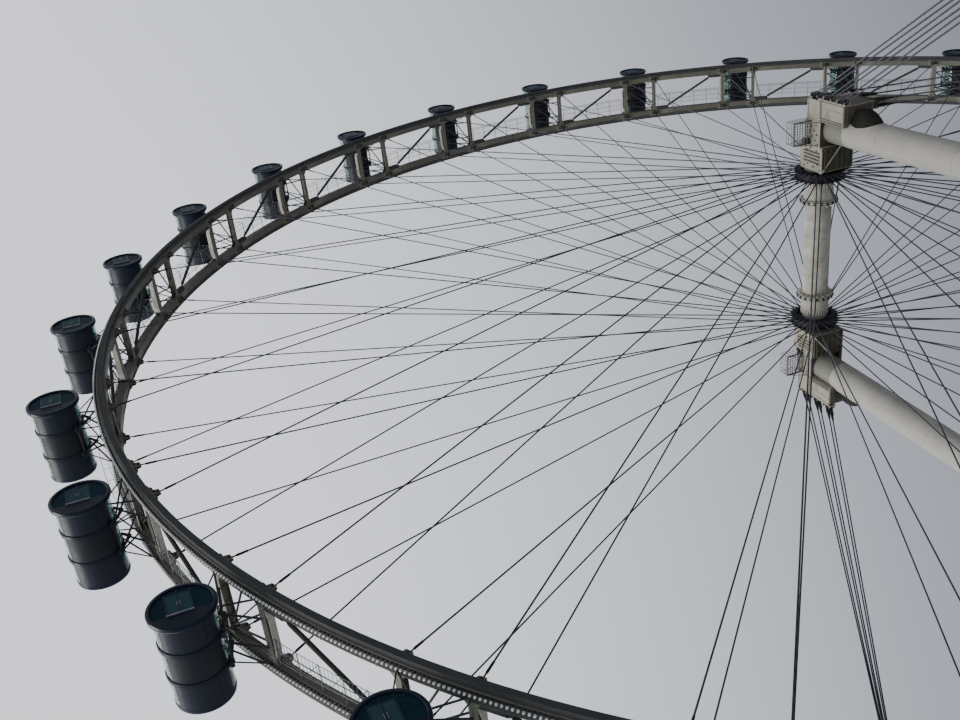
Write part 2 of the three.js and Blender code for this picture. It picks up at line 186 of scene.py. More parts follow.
def across(direction):
    """Two unit vectors square to a direction."""
    d = Vector(direction).normalized()
    helper = Vector((0, 0, 1)) if abs(d.z) < 0.9 else Vector((1, 0, 0))
    u = d.cross(helper).normalized()
    return u, d.cross(u).normalized()


def tube(form, points, radii, sides=8, mat=0, caps=True):
    """A round bar through a list of points. radii is one radius or one for each point."""
    points = [Vector(p) for p in points]
    if not isinstance(radii, (list, tuple)):
        radii = [radii] * len(points)
    verts, faces, uvs = [], [], []
    u, v = across(points[-1] - points[0])
    length = 0.0
    lengths = []
    for i, (p, r) in enumerate(zip(points, radii)):
        if i:
            length += (p - points[i - 1]).length
        lengths.append(length)
        ahead = (points[min(i + 1, len(points) - 1)] - points[max(i - 1, 0)]).normalized()
        u = (u - ahead * u.dot(ahead)).normalized()
        v = ahead.cross(u)
        for s in range(sides):
            a = 2 * math.pi * s / sides
            verts.append(p + (u * math.cos(a) + v * math.sin(a)) * r)
    for i in range(len(points) - 1):
        row, low, high = i * sides, lengths[i], lengths[i + 1]
        for s in range(sides):
            t = (s + 1) % sides
            faces.append([row + s, row + t, row + sides + t, row + sides + s])
            s0, s1 = s / sides, (s + 1) / sides
            uvs.append([(s0, low), (s1, low), (s1, high), (s0, high)])
    if caps:
        last = (len(points) - 1) * sides
        faces.append(list(range(sides))[::-1])
        uvs.append([(0.0, 0.0)] * sides)
        faces.append([last + s for s in range(sides)])
        uvs.append([(0.0, length)] * sides)
    form.add(verts, faces, mat, uvs)


def revolve(form, profile, sides=48, mat=0, centre=(0, 0, 0), start=0.0, sweep=2 * math.pi, loop=False):
    """Turns a profile of (radius, y) round the line through centre along Y, with ends on a part turn."""
    centre = Vector(centre)
    profile = profile if turning(profile) > 0 else profile[::-1]
    whole = abs(sweep - 2 * math.pi) < 1e-9
    columns = sides if whole else sides + 1
    verts, rows = [], []
    for radius, y in profile:
        if radius < 1e-6:
            rows.append([len(verts)] * columns)
            verts.append(centre + Vector((0, y, 0)))
            continue
        rows.append(list(range(len(verts), len(verts) + columns)))
        for s in range(columns):
            verts.append(centre + around(start + sweep * s / sides, radius, y))
    faces, uvs = [], []
    pairs = list(zip(rows, rows[1:]))
    if loop:
        pairs.append((rows[-1], rows[0]))
    run = 0.0
    for i, (low, high) in enumerate(pairs):
        a, b = profile[i], profile[(i + 1) % len(profile)]
        step = math.hypot(b[0] - a[0], b[1] - a[1])
        for s in range(sides):
            t = (s + 1) % columns
            face = [low[s], high[s], high[t], low[t]]
            u0, u1 = s / sides, (s + 1) / sides
            corner = [(u0, run), (u0, run + step), (u1, run + step), (u1, run)]
            keep = [n for n in range(4) if face[n] not in face[:n]]
            if len(keep) > 2:
                faces.append([face[n] for n in keep])
                uvs.append([corner[n] for n in keep])
        run += step
    if not whole:
        for end in ([row[0] for row in rows][::-1], [row[-1] for row in rows]):
            unique = list(dict.fromkeys(end))
            faces.append(unique)
            uvs.append([(0.0, 0.0)] * len(unique))
    form.add(verts, faces, mat, uvs)


def block(form, centre, size, axes=None, mat=0, edge=0.0015):
    """A box with narrow chamfers. axes are its three directions."""
    centre = Vector(centre)
    axes = axes or (Vector((1, 0, 0)), Vector((0, 1, 0)), Vector((0, 0, 1)))
    half = [s / 2 for s in size]
    e = min(edge, *(h * 0.6 for h in half))
    verts, index = [], {}
    signs = [(x, y, z) for x in (-1, 1) for y in (-1, 1) for z in (-1, 1)]
    for corner in signs:
        for full in range(3):
            local = [corner[n] * (half[n] if n == full else half[n] - e) for n in range(3)]
            index[corner, full] = len(verts)
            verts.append(centre + sum((axes[n] * local[n] for n in range(3)), Vector()))
    faces = []
    for n in range(3):
        for sign in (-1, 1):
            ring = [c for c in signs if c[n] == sign]
            order = [ring[0], ring[1], ring[3], ring[2]]
            faces.append([index[c, n] for c in order])
    for n in range(3):
        a, b = [m for m in range(3) if m != n]
        for sa in (-1, 1):
            for sb in (-1, 1):
                ends = []
                for sn in (-1, 1):
                    c = [0, 0, 0]
                    c[n], c[a], c[b] = sn, sa, sb
                    ends.append(tuple(c))
                faces.append([index[ends[0], a], index[ends[1], a], index[ends[1], b], index[ends[0], b]])
    for c in signs:
        faces.append([index[c, 0], index[c, 1], index[c, 2]])
    form.add(verts, [outward(face, verts, centre) for face in faces], mat)


def outward(face, verts, centre):
    """The face turned so that it looks away from the centre of its convex solid."""
    a, b, c = (verts[face[n]] for n in range(3))
    middle = sum((verts[n] for n in face), Vector()) / len(face)
    return face if (b - a).cross(c - a).dot(middle - centre) > 0 else face[::-1]


def ring(form, radii, ys, sides, mat=0):
    """A flat band: a rectangle of (radius, y) turned round the axle."""
    (a, b), (low, high) = radii, ys
    revolve(form, [(a, low), (b, low), (b, high), (a, high)], sides, mat, AXLE, loop=True)


def prism(form, outline, origin, u, v, depth, mat=0):
    """A flat plate: an outline of (along u, along v), as thick as depth, centred on its plane."""
    origin, u, v = Vector(origin), Vector(u), Vector(v)
    w = u.cross(v).normalized() * depth / 2
    low = [origin + u * a + v * b - w for a, b in outline]
    high = [p + 2 * w for p in low]
    n = len(outline)
    faces = [list(range(n))[::-1], [n + i for i in range(n)]]
    faces += [[i, (i + 1) % n, n + (i + 1) % n, n + i] for i in range(n)]
    if turning(outline) < 0:
        faces = [face[::-1] for face in faces]
    form.add(low + high, faces, mat)


def beam(form, a, b, width, height, up, mat=0, edge=0.0015):
    """A straight box beam between two points, its height along up."""
    a, b = Vector(a), Vector(b)
    along = (b - a).normalized()
    side = along.cross(Vector(up)).normalized()
    block(form, (a + b) / 2, ((b - a).length, width, height), (along, side, side.cross(along)), mat, edge)


# Materials

class Shader:
    """The nodes of a new material or world, with short ways to add to them."""

    def __init__(self, owner, end="Principled BSDF"):
        owner.use_nodes = True
        self.owner = owner
        self.tree = owner.node_tree
        self.end = self.tree.nodes[end]

    def fill(self, node, inputs):
        """Sets each input to a value, or joins it to the output that feeds it."""
        for key, value in inputs.items():
            if isinstance(value, bpy.types.NodeSocket):
                self.tree.links.new(value, node.inputs[key])
            else:
                node.inputs[key].default_value = value

    def add(self, kind, inputs, output=0):
        node = self.tree.nodes.new("ShaderNode" + kind)
        self.fill(node, inputs)
        return node.outputs[output]

    def finish(self, inputs):
        self.fill(self.end, inputs)
        return self.owner

    def place(self, kind="Object"):
        return self.add("TexCoord", {}, kind)

    def noise(self, vector, scale, detail, rough):
        inputs = {"Vector": vector, "Scale": scale, "Detail": detail, "Roughness": rough}
        return self.add("TexNoise", inputs, "Fac")

    def stretched(self, source, scale):
        return self.add("Mapping", {"Vector": source, "Scale": scale})

    def bump(self, height, strength, distance):
        return self.add("Bump", {"Height": height, "Strength": strength, "Distance": distance})

    def ramp(self, value, *stops):
        node = self.tree.nodes.new("ShaderNodeValToRGB")
        elements = node.color_ramp.elements
        while len(elements) < len(stops):
            elements.new(0.5)
        for element, (place, colour) in zip(elements, stops):
            element.position = place
            element.color = (*colour, 1)
        self.fill(node, {"Fac": value})
        return node.outputs["Color"]

    def grey(self, value, low, start, high, end):
        """A grey that goes from start to end as the value goes from low to high."""
        return self.ramp(value, (low, (start,) * 3), (high, (end,) * 3))

    def blend(self, share, under, over):
        """One colour laid over another by a share from 0 to 1."""
        node = self.tree.nodes.new("ShaderNodeMix")
        node.data_type = "RGBA"
        self.fill(node, {0: share, 6: under, 7: (*over, 1)})
        return node.outputs[2]


def painted(name, base, shade, worn, streak=(9, 9, 1.2), gloss=0.45, dirt=0.5, shine=0.4):
    """Weathered paint: patches, rain streaks, dirt speckles and rubbed edges."""
    shader = Shader(bpy.data.materials.new(name))
    place = shader.place()
    patches = shader.noise(place, 5.4, 6, 0.6)
    streaks = shader.noise(shader.stretched(place, streak), 7.0, 5, 0.7)
    specks = shader.noise(place, 120, 3, 0.5)
    edges = shader.add("NewGeometry", {}, "Pointiness")
    grime = tuple(c * 0.45 for c in shade)
    colour = shader.ramp(patches, (0.32, shade), (0.62, base))
    colour = shader.blend(shader.grey(streaks, 0.5, 0, 0.72, dirt), colour, grime)
    colour = shader.blend(shader.grey(specks, 0.62, 0, 0.74, 0.35), colour, grime)
    colour = shader.blend(shader.grey(edges, 0.52, 0, 0.6, 0.7), colour, worn)
    return shader.finish({
        "Base Color": colour,
        "Roughness": shader.grey(patches, 0.3, gloss + 0.2, 0.7, gloss),
        "Specular IOR Level": shine,
        "Normal": shader.bump(specks, 0.12, 0.002),
    })


def glass(name, tint, clear, coat=0.6, shine=0.5):
    """Tinted glazing with faint smears. clear is the share of light that passes."""
    shader = Shader(bpy.data.materials.new(name))
    smears = shader.noise(shader.stretched(shader.place(), (3, 3, 14)), 5.0, 4, 0.6)
    darker = tuple(c * 0.75 for c in tint)
    return shader.finish({
        "Base Color": shader.ramp(smears, (0.35, tint), (0.7, darker)),
        "Roughness": shader.grey(smears, 0.3, 0.04, 0.7, 0.14),
        "Transmission Weight": clear,
        "IOR": 1.1,
        "Coat Weight": coat,
        "Coat Roughness": 0.05,
        "Specular IOR Level": shine,
    })


def wire_rope(name, base, light):
    """Steel rope whose strands wind round it, from texture coordinates along its length."""
    shader = Shader(bpy.data.materials.new(name))
    wave = shader.tree.nodes.new("ShaderNodeTexWave")
    wave.wave_type = "BANDS"
    wave.bands_direction = "DIAGONAL"
    winding = shader.stretched(shader.place("UV"), (1.9, 6.0, 0))
    shader.fill(wave, {"Scale": 1.0, "Distortion": 0.2, "Vector": winding})
    strands = wave.outputs["Fac"]
    patches = shader.noise(shader.place(), 6.0, 5, 0.6)
    # Darker in the grooves and lighter on the crests of the strands, as the bump is: painted shade and
    # painted highlight.
    colour = shader.ramp(strands, (0.1, base), (0.9, light))
    dust = tuple(c * 1.8 for c in light)
    return shader.finish({
        "Base Color": shader.blend(shader.grey(patches, 0.45, 0, 0.75, 0.5), colour, dust),
        "Roughness": shader.grey(patches, 0.3, 0.38, 0.7, 0.62),
        "Metallic": 0.5,
        "Normal": shader.bump(strands, 0.6, 0.001),
    })


def metal(name, base, dark, gloss=0.5, metallic=0.5):
    """Bare or galvanised metal with mottling and grease marks."""
    shader = Shader(bpy.data.materials.new(name))
    mottle = shader.noise(shader.place(), 38.0, 5, 0.65)
    return shader.finish({
        "Base Color": shader.ramp(mottle, (0.3, dark), (0.7, base)),
        "Roughness": shader.grey(mottle, 0.3, gloss + 0.25, 0.7, gloss),
        "Metallic": metallic,
        "Normal": shader.bump(mottle, 0.15, 0.001),
    })


RIM = painted("rim_paint", (0.1, 0.102, 0.079), (0.035, 0.037, 0.026), (0.24, 0.24, 0.2),
              dirt=0.9, shine=0.2)
RIM_DARK = painted("rim_shadowed_paint", (0.062, 0.061, 0.06), (0.028, 0.028, 0.028), (0.07, 0.075, 0.08),
                   shine=0.03)
# A darker copy of the rim paint for the spoke brackets and the service platforms: painted shade.
SHADED_BRACKET = painted("bracket_painted_shade", (0.07, 0.064, 0.052), (0.035, 0.032, 0.028), (0.15, 0.14, 0.12),
                  dirt=0.7)
LAMP = painted("lamp_covers", (0.74, 0.76, 0.75), (0.6, 0.62, 0.62), (0.8, 0.8, 0.8), dirt=0.1)
HUB_PAINT = painted("hub_paint", (0.47, 0.455, 0.4), (0.27, 0.26, 0.215), (0.58, 0.56, 0.5), dirt=0.4)
LEG_PAINT = painted("leg_paint", (0.33, 0.315, 0.278), (0.2, 0.19, 0.165), (0.52, 0.5, 0.46),
                    streak=(6, 6, 0.5), dirt=0.35)
# Darker copy of the leg paint for the top of the leg and the haunch pipes: painted shadow under the column
# head.
LEG_TOP_SHADOW = painted("leg_top_painted_shadow", (0.15, 0.155, 0.125), (0.085, 0.09, 0.07), (0.28, 0.28, 0.24))
HEAD_PAINT = painted("column_head_paint", (0.23, 0.215, 0.165), (0.06, 0.055, 0.038), (0.4, 0.38, 0.31),
                     dirt=0.9)
# Dark olive for the undersides, gaps and outer end of the column head: painted shade.
SHADOWED_OLIVE = painted("housing_shadowed_paint", (0.04, 0.038, 0.024), (0.018, 0.017, 0.011), (0.1, 0.095, 0.07),
                dirt=0.6, shine=0.2)
# Dark brown for the haunch's underside and outer end: painted shade.
SHADOWED_UMBER = painted("haunch_underside_painted_shade", (0.075, 0.062, 0.048), (0.035, 0.029, 0.023), (0.13, 0.115, 0.095),
                dirt=0.6)
KNUCKLE = painted("knuckle_paint", (0.022, 0.023, 0.017), (0.011, 0.012, 0.009), (0.06, 0.055, 0.045),
                  gloss=0.6, shine=0.15)
NAVY = painted("cabin_panels", (0.0058, 0.0105, 0.0235), (0.0035, 0.006, 0.0142), (0.03, 0.037, 0.055),
               gloss=0.25, dirt=0.1, shine=0.15)
NAVY_LIP = painted("cabin_lip", (0.0035, 0.0085, 0.024), (0.002, 0.005, 0.015), (0.02, 0.034, 0.065),
                   gloss=0.15, dirt=0.05, shine=0.2)
BELLY = painted("cabin_belly", (0.0092, 0.0118, 0.018), (0.0062, 0.008, 0.0125), (0.03, 0.034, 0.044),
                gloss=0.4, dirt=0.1, shine=0.15)
END_PANEL = painted("cabin_end_panel", (0.0038, 0.0088, 0.023), (0.0025, 0.0058, 0.015), (0.02, 0.026, 0.04),
                    gloss=0.3, dirt=0.1, shine=0.08)
WINDOW = glass("cabin_side_glass", (0.62, 0.86, 0.78), 0.85)
DOOR_GLASS = glass("cabin_end_glass", (0.013, 0.034, 0.052), 0.0, 0.02, 0.15)
LEAF_GLASS = glass("cabin_door_leaf_glass", (0.04, 0.085, 0.1), 0.0, 0.02, 0.15)
INSIDE = painted("cabin_interior", (0.06, 0.065, 0.075), (0.04, 0.042, 0.05), (0.12, 0.12, 0.13),
                 gloss=0.5, dirt=0.1)
SILL = metal("cabin_sill", (0.3, 0.29, 0.36), (0.2, 0.19, 0.25), 0.3, 0.6)
ROPE = wire_rope("spoke_rope", (0.012, 0.013, 0.022), (0.05, 0.052, 0.07))
SOCKET = metal("cable_socket", (0.022, 0.023, 0.03), (0.01, 0.01, 0.014))
RAIL = metal("galvanised_rail", (0.2, 0.21, 0.215), (0.1, 0.11, 0.11))
SHAFT = metal("machined_shaft", (0.42, 0.42, 0.43), (0.3, 0.3, 0.31), 0.25, 1.0)
DARK_STEEL = metal("dark_steel", (0.045, 0.045, 0.047), (0.02, 0.02, 0.022))
CONCRETE = painted("anchor_concrete", (0.46, 0.45, 0.42), (0.33, 0.32, 0.3), (0.55, 0.54, 0.5), gloss=0.75)


# Rim: one bay of the wheel, built round the hub with its cabin on +X, and turned to each place

def at(position, radius, y):
    """A point of the bay: position in cabin spacings along the rim, radius from the axle, y along it."""
    return around(position * BAY, radius, y)


def arc(form, section, mat):
    """Sweeps a closed section of (radius, y) along the bay."""
    revolve(form, section, 12, mat, start=BAY_START * BAY, sweep=BAY, loop=True)


def chord(form, side):
    inner, outer = (side * y for y in CHORD_Y)
    edge = 0.003 * side
    box = [
        (CHORD_IN, inner + edge), (CHORD_IN, outer - edge), (CHORD_IN + 0.003, outer),
        (CHORD_OUT - 0.003, outer), (CHORD_OUT, outer - edge), (CHORD_OUT, inner + edge),
        (CHORD_OUT - 0.003, inner), (CHORD_IN + 0.003, inner),
    ]
    arc(form, box, 0)
    lip_in, lip_out = outer - edge, side * FLANGE_Y
    low, high = CHORD_IN + 0.012, CHORD_OUT - 0.012
    flange = [(low, lip_in), (low, lip_out), (high, lip_out), (high, lip_in)]
    arc(form, flange, 1)
    for radius in (CHORD_IN + 0.0125, CHORD_OUT - 0.0165):
        back = lip_out - side * 0.004
        strip = [(radius, back), (radius, lip_out), (radius + 0.004, lip_out), (radius + 0.004, back)]
        arc(form, strip, 2)
    top = [(CHORD_OUT - 0.001, inner + edge), (CHORD_OUT - 0.001, outer - edge),
           (CHORD_OUT + 0.0006, outer - 2 * edge), (CHORD_OUT + 0.0006, inner + 2 * edge)]
    arc(form, top, 1)
    bottom = [(CHORD_IN + 0.001, outer - side * 0.022), (CHORD_IN + 0.001, outer - edge),
              (CHORD_IN - 0.0008, outer - edge), (CHORD_IN - 0.0008, outer - side * 0.021)]
    arc(form, bottom, 1)
    splice(form, side, 0.5)
    splice(form, side, BAY_START + 0.006)


def splice(form, side, position):
    """A weld band round a chord."""
    middle = at(position, RUNG_RADIUS, side * sum(CHORD_Y) / 2)
    size = (CHORD_OUT - CHORD_IN + 0.003, 0.006, CHORD_Y[1] - CHORD_Y[0] + 0.003)
    block(form, middle, size, polar(position * BAY), 0, 0.001)


def rungs(form):
    """The two rungs of a bay: a web, two flanges, stiffeners across it, and gussets on the chords."""
    reach = 2 * CHORD_Y[0] + 0.004
    gusset = [(-0.055, 0), (-0.027, 0.035), (0.027, 0.035), (0.055, 0)]
    for sign, width in ((1, 0.056), (-1, 0.046)):
        axes = polar(sign * RUNG_AT * BAY)
        out_dir, along_dir, axle_dir = axes
        centre = at(sign * RUNG_AT, RUNG_RADIUS, 0)
        block(form, centre, (0.06, 0.012, reach), axes, 0)
        for level in (-0.026, 0.026):
            block(form, centre + out_dir * level, (0.008, width, reach), axes, 0)
        for y in (-0.112, 0, 0.112):
            block(form, centre + axle_dir * y, (0.05, width - 0.006, 0.005), axes, 0, 0.0005)
        for side in (-1, 1):
            for level in (-0.0262, 0.0262):
                base = centre + out_dir * level + axle_dir * side * (CHORD_Y[0] + 0.001)
                prism(form, gusset, base, along_dir, axle_dir * -side, 0.006, 0)
        if sign > 0:
            twin(form)


def twin(form):
    """The slim second member beside the wide rung, joined to it near both ends."""
    out_dir, along_dir = polar(RUNG_AT * BAY)[:2]
    half, steps = 0.2, 10
    points = []
    for i in range(steps + 1):
        y = -half + 2 * half * i / steps
        bow = 0.02 + 0.026 * min(1.0, (half - abs(y)) / 0.08)
        points.append(at(RUNG_AT, RUNG_RADIUS, y) + along_dir * bow)
    for a, b in zip(points, points[1:]):
        beam(form, a, b, 0.012, 0.044, out_dir, 3, 0.0008)


def diagonal(form):
    """The brace of the open part of the bay, with the plate and the shelf that hold each of its ends."""
    start = at(0.275, RUNG_RADIUS + 0.005, -CHORD_Y[0] + 0.03)
    end = at(0.725, RUNG_RADIUS + 0.005, CHORD_Y[0] - 0.03)
    reach = (end - start).normalized()
    neck = [start, start + reach * 0.03, start + reach * 0.05]
    tube(form, [*neck, end - reach * 0.05, end - reach * 0.03, end],
         [0.009, 0.01, 0.0165, 0.0165, 0.01, 0.009], 12, 1)
    for position, side, rung in ((0.275, -1, RUNG_AT), (0.725, 1, 1 - RUNG_AT)):
        out_dir, along_dir, axle_dir = polar(position * BAY)
        tip = at(position, RUNG_RADIUS + 0.005, side * (CHORD_Y[0] - 0.02))
        for level in (-0.015, 0.015):
            plate = [(-0.05, -0.024), (0.03, -0.024), (0.034, 0.006), (0.012, 0.018), (-0.05, 0.018)]
            lean = along_dir if rung < position else along_dir * -1
            prism(form, plate, tip + out_dir * level, lean, axle_dir * -side, 0.006, 1)
        shelf_dirs = polar((position + rung) / 2 * BAY)
        shelf = at((position + rung) / 2, RUNG_RADIUS, side * (CHORD_Y[0] - 0.02))
        block(form, shelf, (0.046, 0.2, 0.044), shelf_dirs, 1)
        for n in range(5):
            knob = shelf + shelf_dirs[1] * (-0.07 + n * 0.035) + axle_dir * -side * 0.024
            block(form, knob, (0.03, 0.012, 0.012), shelf_dirs, 0)
        pin = tip - axle_dir * side * 0.008
        tube(form, [pin - out_dir * 0.024, pin + out_dir * 0.024], 0.007, 10, 4)


def cradle_ring(form, centre, y):
    """A ring round the cabin, its two carriers, and the tubes that hold them off the rim."""
    half, bevel = 0.016, 0.003
    section = [
        (RING_IN, y - half), (RING_OUT - bevel, y - half), (RING_OUT, y - half + bevel),
        (RING_OUT, y + half - bevel), (RING_OUT - bevel, y + half), (RING_IN, y + half),
    ]
    revolve(form, section, 48, 5, centre, loop=True)
    seats = []
    for sign in (-1, 1):
        axes = polar(math.pi + sign * CARRIER_AT)
        seat = centre + axes[0] * (RING_OUT + 0.012) + Vector((0, y, 0))
        block(form, seat, (0.026, 0.05, 0.04), axes, 5, 0.004)
        for y_side in (-1, 1):
            hubcap = seat + Vector((0, y_side * 0.027, 0))
            tube(form, [hubcap - Vector((0, 0.005, 0)), hubcap + Vector((0, 0.005, 0))], 0.014, 14, 5)
        seats.append(seat)
        clear_of_drum = seat + axes[0] * 0.007
        struts = ((clear_of_drum, sign, RING_Y, 0.0075), (clear_of_drum, sign, 0.262, 0.007),
                  (seat, -sign, 0.235, 0.005))
        for top, rung, foot_y, radius in struts:
            foot = at(rung * RUNG_AT, CRADLE_FOOT, math.copysign(foot_y, y))
            tube(form, [top, foot], radius, 8, 1)
    tube(form, [seats[0], centre + Vector((-0.25, y, 0)), seats[1]], 0.0065, 8, 1)


def cradle(form):
    """Two rings round the cabin, the tubes between them, and the braces from the far chord."""
    centre = Vector((CABIN_ORBIT, 0, 0))
    for y in (-RING_Y, RING_Y):
        cradle_ring(form, centre, y)
    for sign in (-1, 1):
        seat = centre + polar(math.pi + sign * CARRIER_AT)[0] * (RING_OUT + 0.018)
        near, far = seat + Vector((0, -RING_Y, 0)), seat + Vector((0, RING_Y, 0))
        tube(form, [near, far], 0.0075, 8, 1)
        tube(form, [near, at(sign * RUNG_AT, CRADLE_FOOT, RING_Y)], 0.0055, 8, 1)
    corner = at(-RUNG_AT, RUNG_RADIUS, CHORD_Y[0] - 0.02)
    for target in ((RUNG_AT, RUNG_RADIUS, -0.14), (0.02, CHORD_OUT - 0.03, -CHORD_Y[0]),
                   (RUNG_AT, RUNG_RADIUS, 0.1)):
        tube(form, [corner, at(*target)], 0.0075, 8, 1)


def spoke_lugs(form):
    """Star-shaped brackets of several plates under both chords, which hold the spoke sockets."""
    half = [(0.07, 0.004), (0.062, -0.022), (0.04, -0.028), (0.024, -0.066)]
    plate = [(-0.07, 0.004), *half, *((-x, z) for x, z in half[:0:-1])]
    web = [(0.01, 0.0), (0.042, 0.0), (0.03, -0.026), (0.01, -0.034)]
    for sign in (-1, 1):
        axes = polar(sign * RUNG_AT * BAY)
        out_dir, along_dir, axle_dir = axes
        for side in (-1, 1):
            centre = at(sign * RUNG_AT, CHORD_IN, side * sum(CHORD_Y) / 2)
            # The plates and webs take the darker bracket colour: painted shade under the chords.
            for offset in (-0.0085, 0.0085):
                prism(form, plate, centre + axle_dir * offset, along_dir, out_dir, 0.005, 7)
            block(form, centre - out_dir * 0.003, (0.012, 0.16, 0.076), axes, 0, 0.001)
            for lean in (-1, 1):
                for place in (-0.045, 0.0, 0.045):
                    prism(form, web, centre + along_dir * place, axle_dir * lean, out_dir, 0.006, 7)
            pin = centre - out_dir * 0.05
            tube(form, [pin - axle_dir * 0.018, pin + axle_dir * 0.018], 0.009, 12, 4)


def lamp_row(form, side):
    """A dark channel on short posts outside a chord, with a row of small pale lamp covers."""
    y = side * sum(CHORD_Y) / 2 - 0.03
    low, high = CHORD_OUT + 0.013, CHORD_OUT + 0.019
    channel = [(low, y - 0.006), (high, y - 0.006), (high, y + 0.006), (low, y + 0.006)]
    arc(form, channel, 1)
    count = 52
    post = [(-0.004, -0.016), (0.004, -0.016), (0.003, 0.001), (-0.003, 0.001)]
    cover = [(-0.0065, 0.0), (0.0065, 0.0), (0.005, 0.012), (-0.005, 0.012)]
    for i in range(count):
        for step, outline, radius, mat in ((0.0, post, low, 1), (0.5, cover, high, 8)):
            position = BAY_START + (i + 0.25 + step) / count
            outwards, along = polar(position * BAY)[:2]
            prism(form, outline, at(position, radius, y), along, outwards, 0.011, mat)


def walkway(form):
    """A grating with a handrail in the open part of the bay, carried from the far chord."""
    low, high = 0.19, 0.81
    inner, outer = 0.02, 0.16
    level = CHORD_OUT - 0.012
    steps = 10
    places = [low + (high - low) * i / steps for i in range(steps + 1)]
    middle = (inner + outer) / 2
    for y, height in ((inner, 0), (middle, 0), (outer, 0), (inner, 0.05), (inner, 0.1)):
        tube(form, [at(p, level + height, y) for p in places], 0.0021, 6, 6)
    for i in range(30):
        position = low + (high - low) * (i + 0.5) / 30
        tube(form, [at(position, level, inner), at(position, level, outer)], 0.0016, 5, 6, False)
    for position in places[::2]:
        tube(form, [at(position, level, inner), at(position, level + 0.102, inner)], 0.0021, 6, 6)
        bracket = [at(position, level - 0.003, y) for y in (inner, CHORD_Y[0] + 0.004)]
        tube(form, bracket, 0.0035, 6, 6)


def build_rim():
    form = Form()
    for side in (-1, 1):
        chord(form, side)
    rungs(form)
    diagonal(form)
    cradle(form)
    spoke_lugs(form)
    lamp_row(form, -1)
    lamp_row(form, 1)
    walkway(form)
    slots = [RIM, RIM_DARK, RIM, HUB_PAINT, DARK_STEEL, NAVY, RAIL, SHADED_BRACKET, LAMP]
    for i, angle, bay in wheel_copies("rim_bay", form, slots):
        bay.matrix_world = Matrix.Translation(AXLE) @ Matrix.Rotation(-angle, 4, "Y")
        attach(bay, "wheel")
        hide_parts(f"rim_section_{i // 2 + 1}")


# Cabins

def shell_panel(form, outside, inside, y0, y1, a0, a1, steps, mat):
    """A curved panel between two depths under the drum's surface, from angle a0 to a1 in degrees."""
    outer, inner = CABIN_RADIUS - outside, CABIN_RADIUS - inside
    section = [(outer, y0), (outer, y1), (inner, y1), (inner, y0)]
    revolve(form, section, steps, mat, start=math.radians(a0), sweep=math.radians(a1 - a0), loop=True)


def near_lip(form):
    """The thick rolled rim of the door end."""
    y = -CABIN_HALF
    back = y + LIP_DEPTH
    section = [
        (CABIN_RADIUS - 0.004, back), (LIP_RADIUS - 0.012, back), (LIP_RADIUS - 0.004, back - 0.006),
        (LIP_RADIUS, back - 0.014), (LIP_RADIUS, y + 0.008), (LIP_RADIUS - 0.003, y + 0.002),
        (LIP_RADIUS - 0.009, y), (CABIN_RADIUS + 0.002, y), (CABIN_RADIUS - 0.003, y + 0.005),
        (CABIN_RADIUS - 0.004, y + 0.016),
    ]
    revolve(form, section, 56, 1, loop=True)


def far_edge(form):
    """The plain rounded edge of the far end."""
    y = CABIN_HALF
    steps = [(-0.006, 0.03), (0.0012, 0.03), (0.0012, 0.012), (-0.001, 0.004), (-0.006, 0), (-0.01, 0),
             (-0.01, 0.016)]
    revolve(form, [(CABIN_RADIUS + rise, y - back) for rise, back in steps], 56, 1, loop=True)


def glazing_bar(form, out, start, end, width=0.006, depth=0.006, edge=0.001):
    """A bar on the glass between two points (x, z), upright or level."""
    up = (0, 0, 1) if end[0] != start[0] else (1, 0, 0)
    beam(form, (start[0], out, start[1]), (end[0], out, end[1]), depth, width, up, 1, edge)


def door_leaves(form, side, face, out):
    """The two leaves of the near end, the sill below them, their grips and their frames."""
    middle = sum(DOOR_X) / 2
    leaf_height = DOOR_TOP - FLOOR_Z - 0.008
    for x0, x1 in ((DOOR_X[0], middle), (middle, DOOR_X[1])):
        place = ((x0 + x1) / 2, face + side * 0.002, (FLOOR_Z + DOOR_TOP) / 2)
        block(form, place, (x1 - x0 - 0.008, 0.004, leaf_height), None, 7, 0.0008)
    sill = (DOOR_X[1] - DOOR_X[0] + 0.01, 0.014, 0.009)
    block(form, (middle, out + side * 0.004, FLOOR_Z - 0.004), sill, None, 5, 0.001)
    grip = out + side * 0.008
    for x in (middle - 0.009, middle + 0.009):
        tube(form, [(x, grip, 0.01), (x, grip, 0.05)], 0.0018, 8, 5)
        for z in (0.014, 0.046):
            tube(form, [(x, out, z), (x, grip, z)], 0.0015, 6, 5)
    for x in (DOOR_X[0] + 0.008, DOOR_X[1] - 0.008):
        glazing_bar(form, out, (x, FLOOR_Z + 0.004), (x, DOOR_TOP - 0.004), 0.003, 0.004, 0.0005)


def end_glazing(form, side):
    """The recessed end: a sill panel below, framed glass above, and double doors in the near end."""
    face = side * (CABIN_HALF - 0.014)
    radius = CABIN_RADIUS - 0.003
    low, high = face - side * 0.002, face + side * 0.001
    revolve(form, [(0, low), (radius, low), (radius, high), (0, high)], 56, 4)
    out = face + side * 0.003
    steps = 20
    lift = math.asin(-FLOOR_Z / radius)
    turns = [-math.pi + lift + (math.pi - 2 * lift) * i / steps for i in range(steps + 1)]
    outline = [(radius * math.cos(a), radius * math.sin(a)) for a in turns]
    prism(form, outline, (0, out - side * 0.001, 0), (1, 0, 0), (0, 0, 1), 0.005, 8)
    for x in (*DOOR_X, sum(DOOR_X) / 2):
        glazing_bar(form, out, (x, FLOOR_Z), (x, math.sqrt(radius ** 2 - x ** 2) - 0.002))
    wide = math.sqrt(radius ** 2 - DOOR_TOP ** 2) - 0.002
    glazing_bar(form, out, (-wide, DOOR_TOP), (wide, DOOR_TOP))
    if side < 0:
        door_leaves(form, side, face, out)


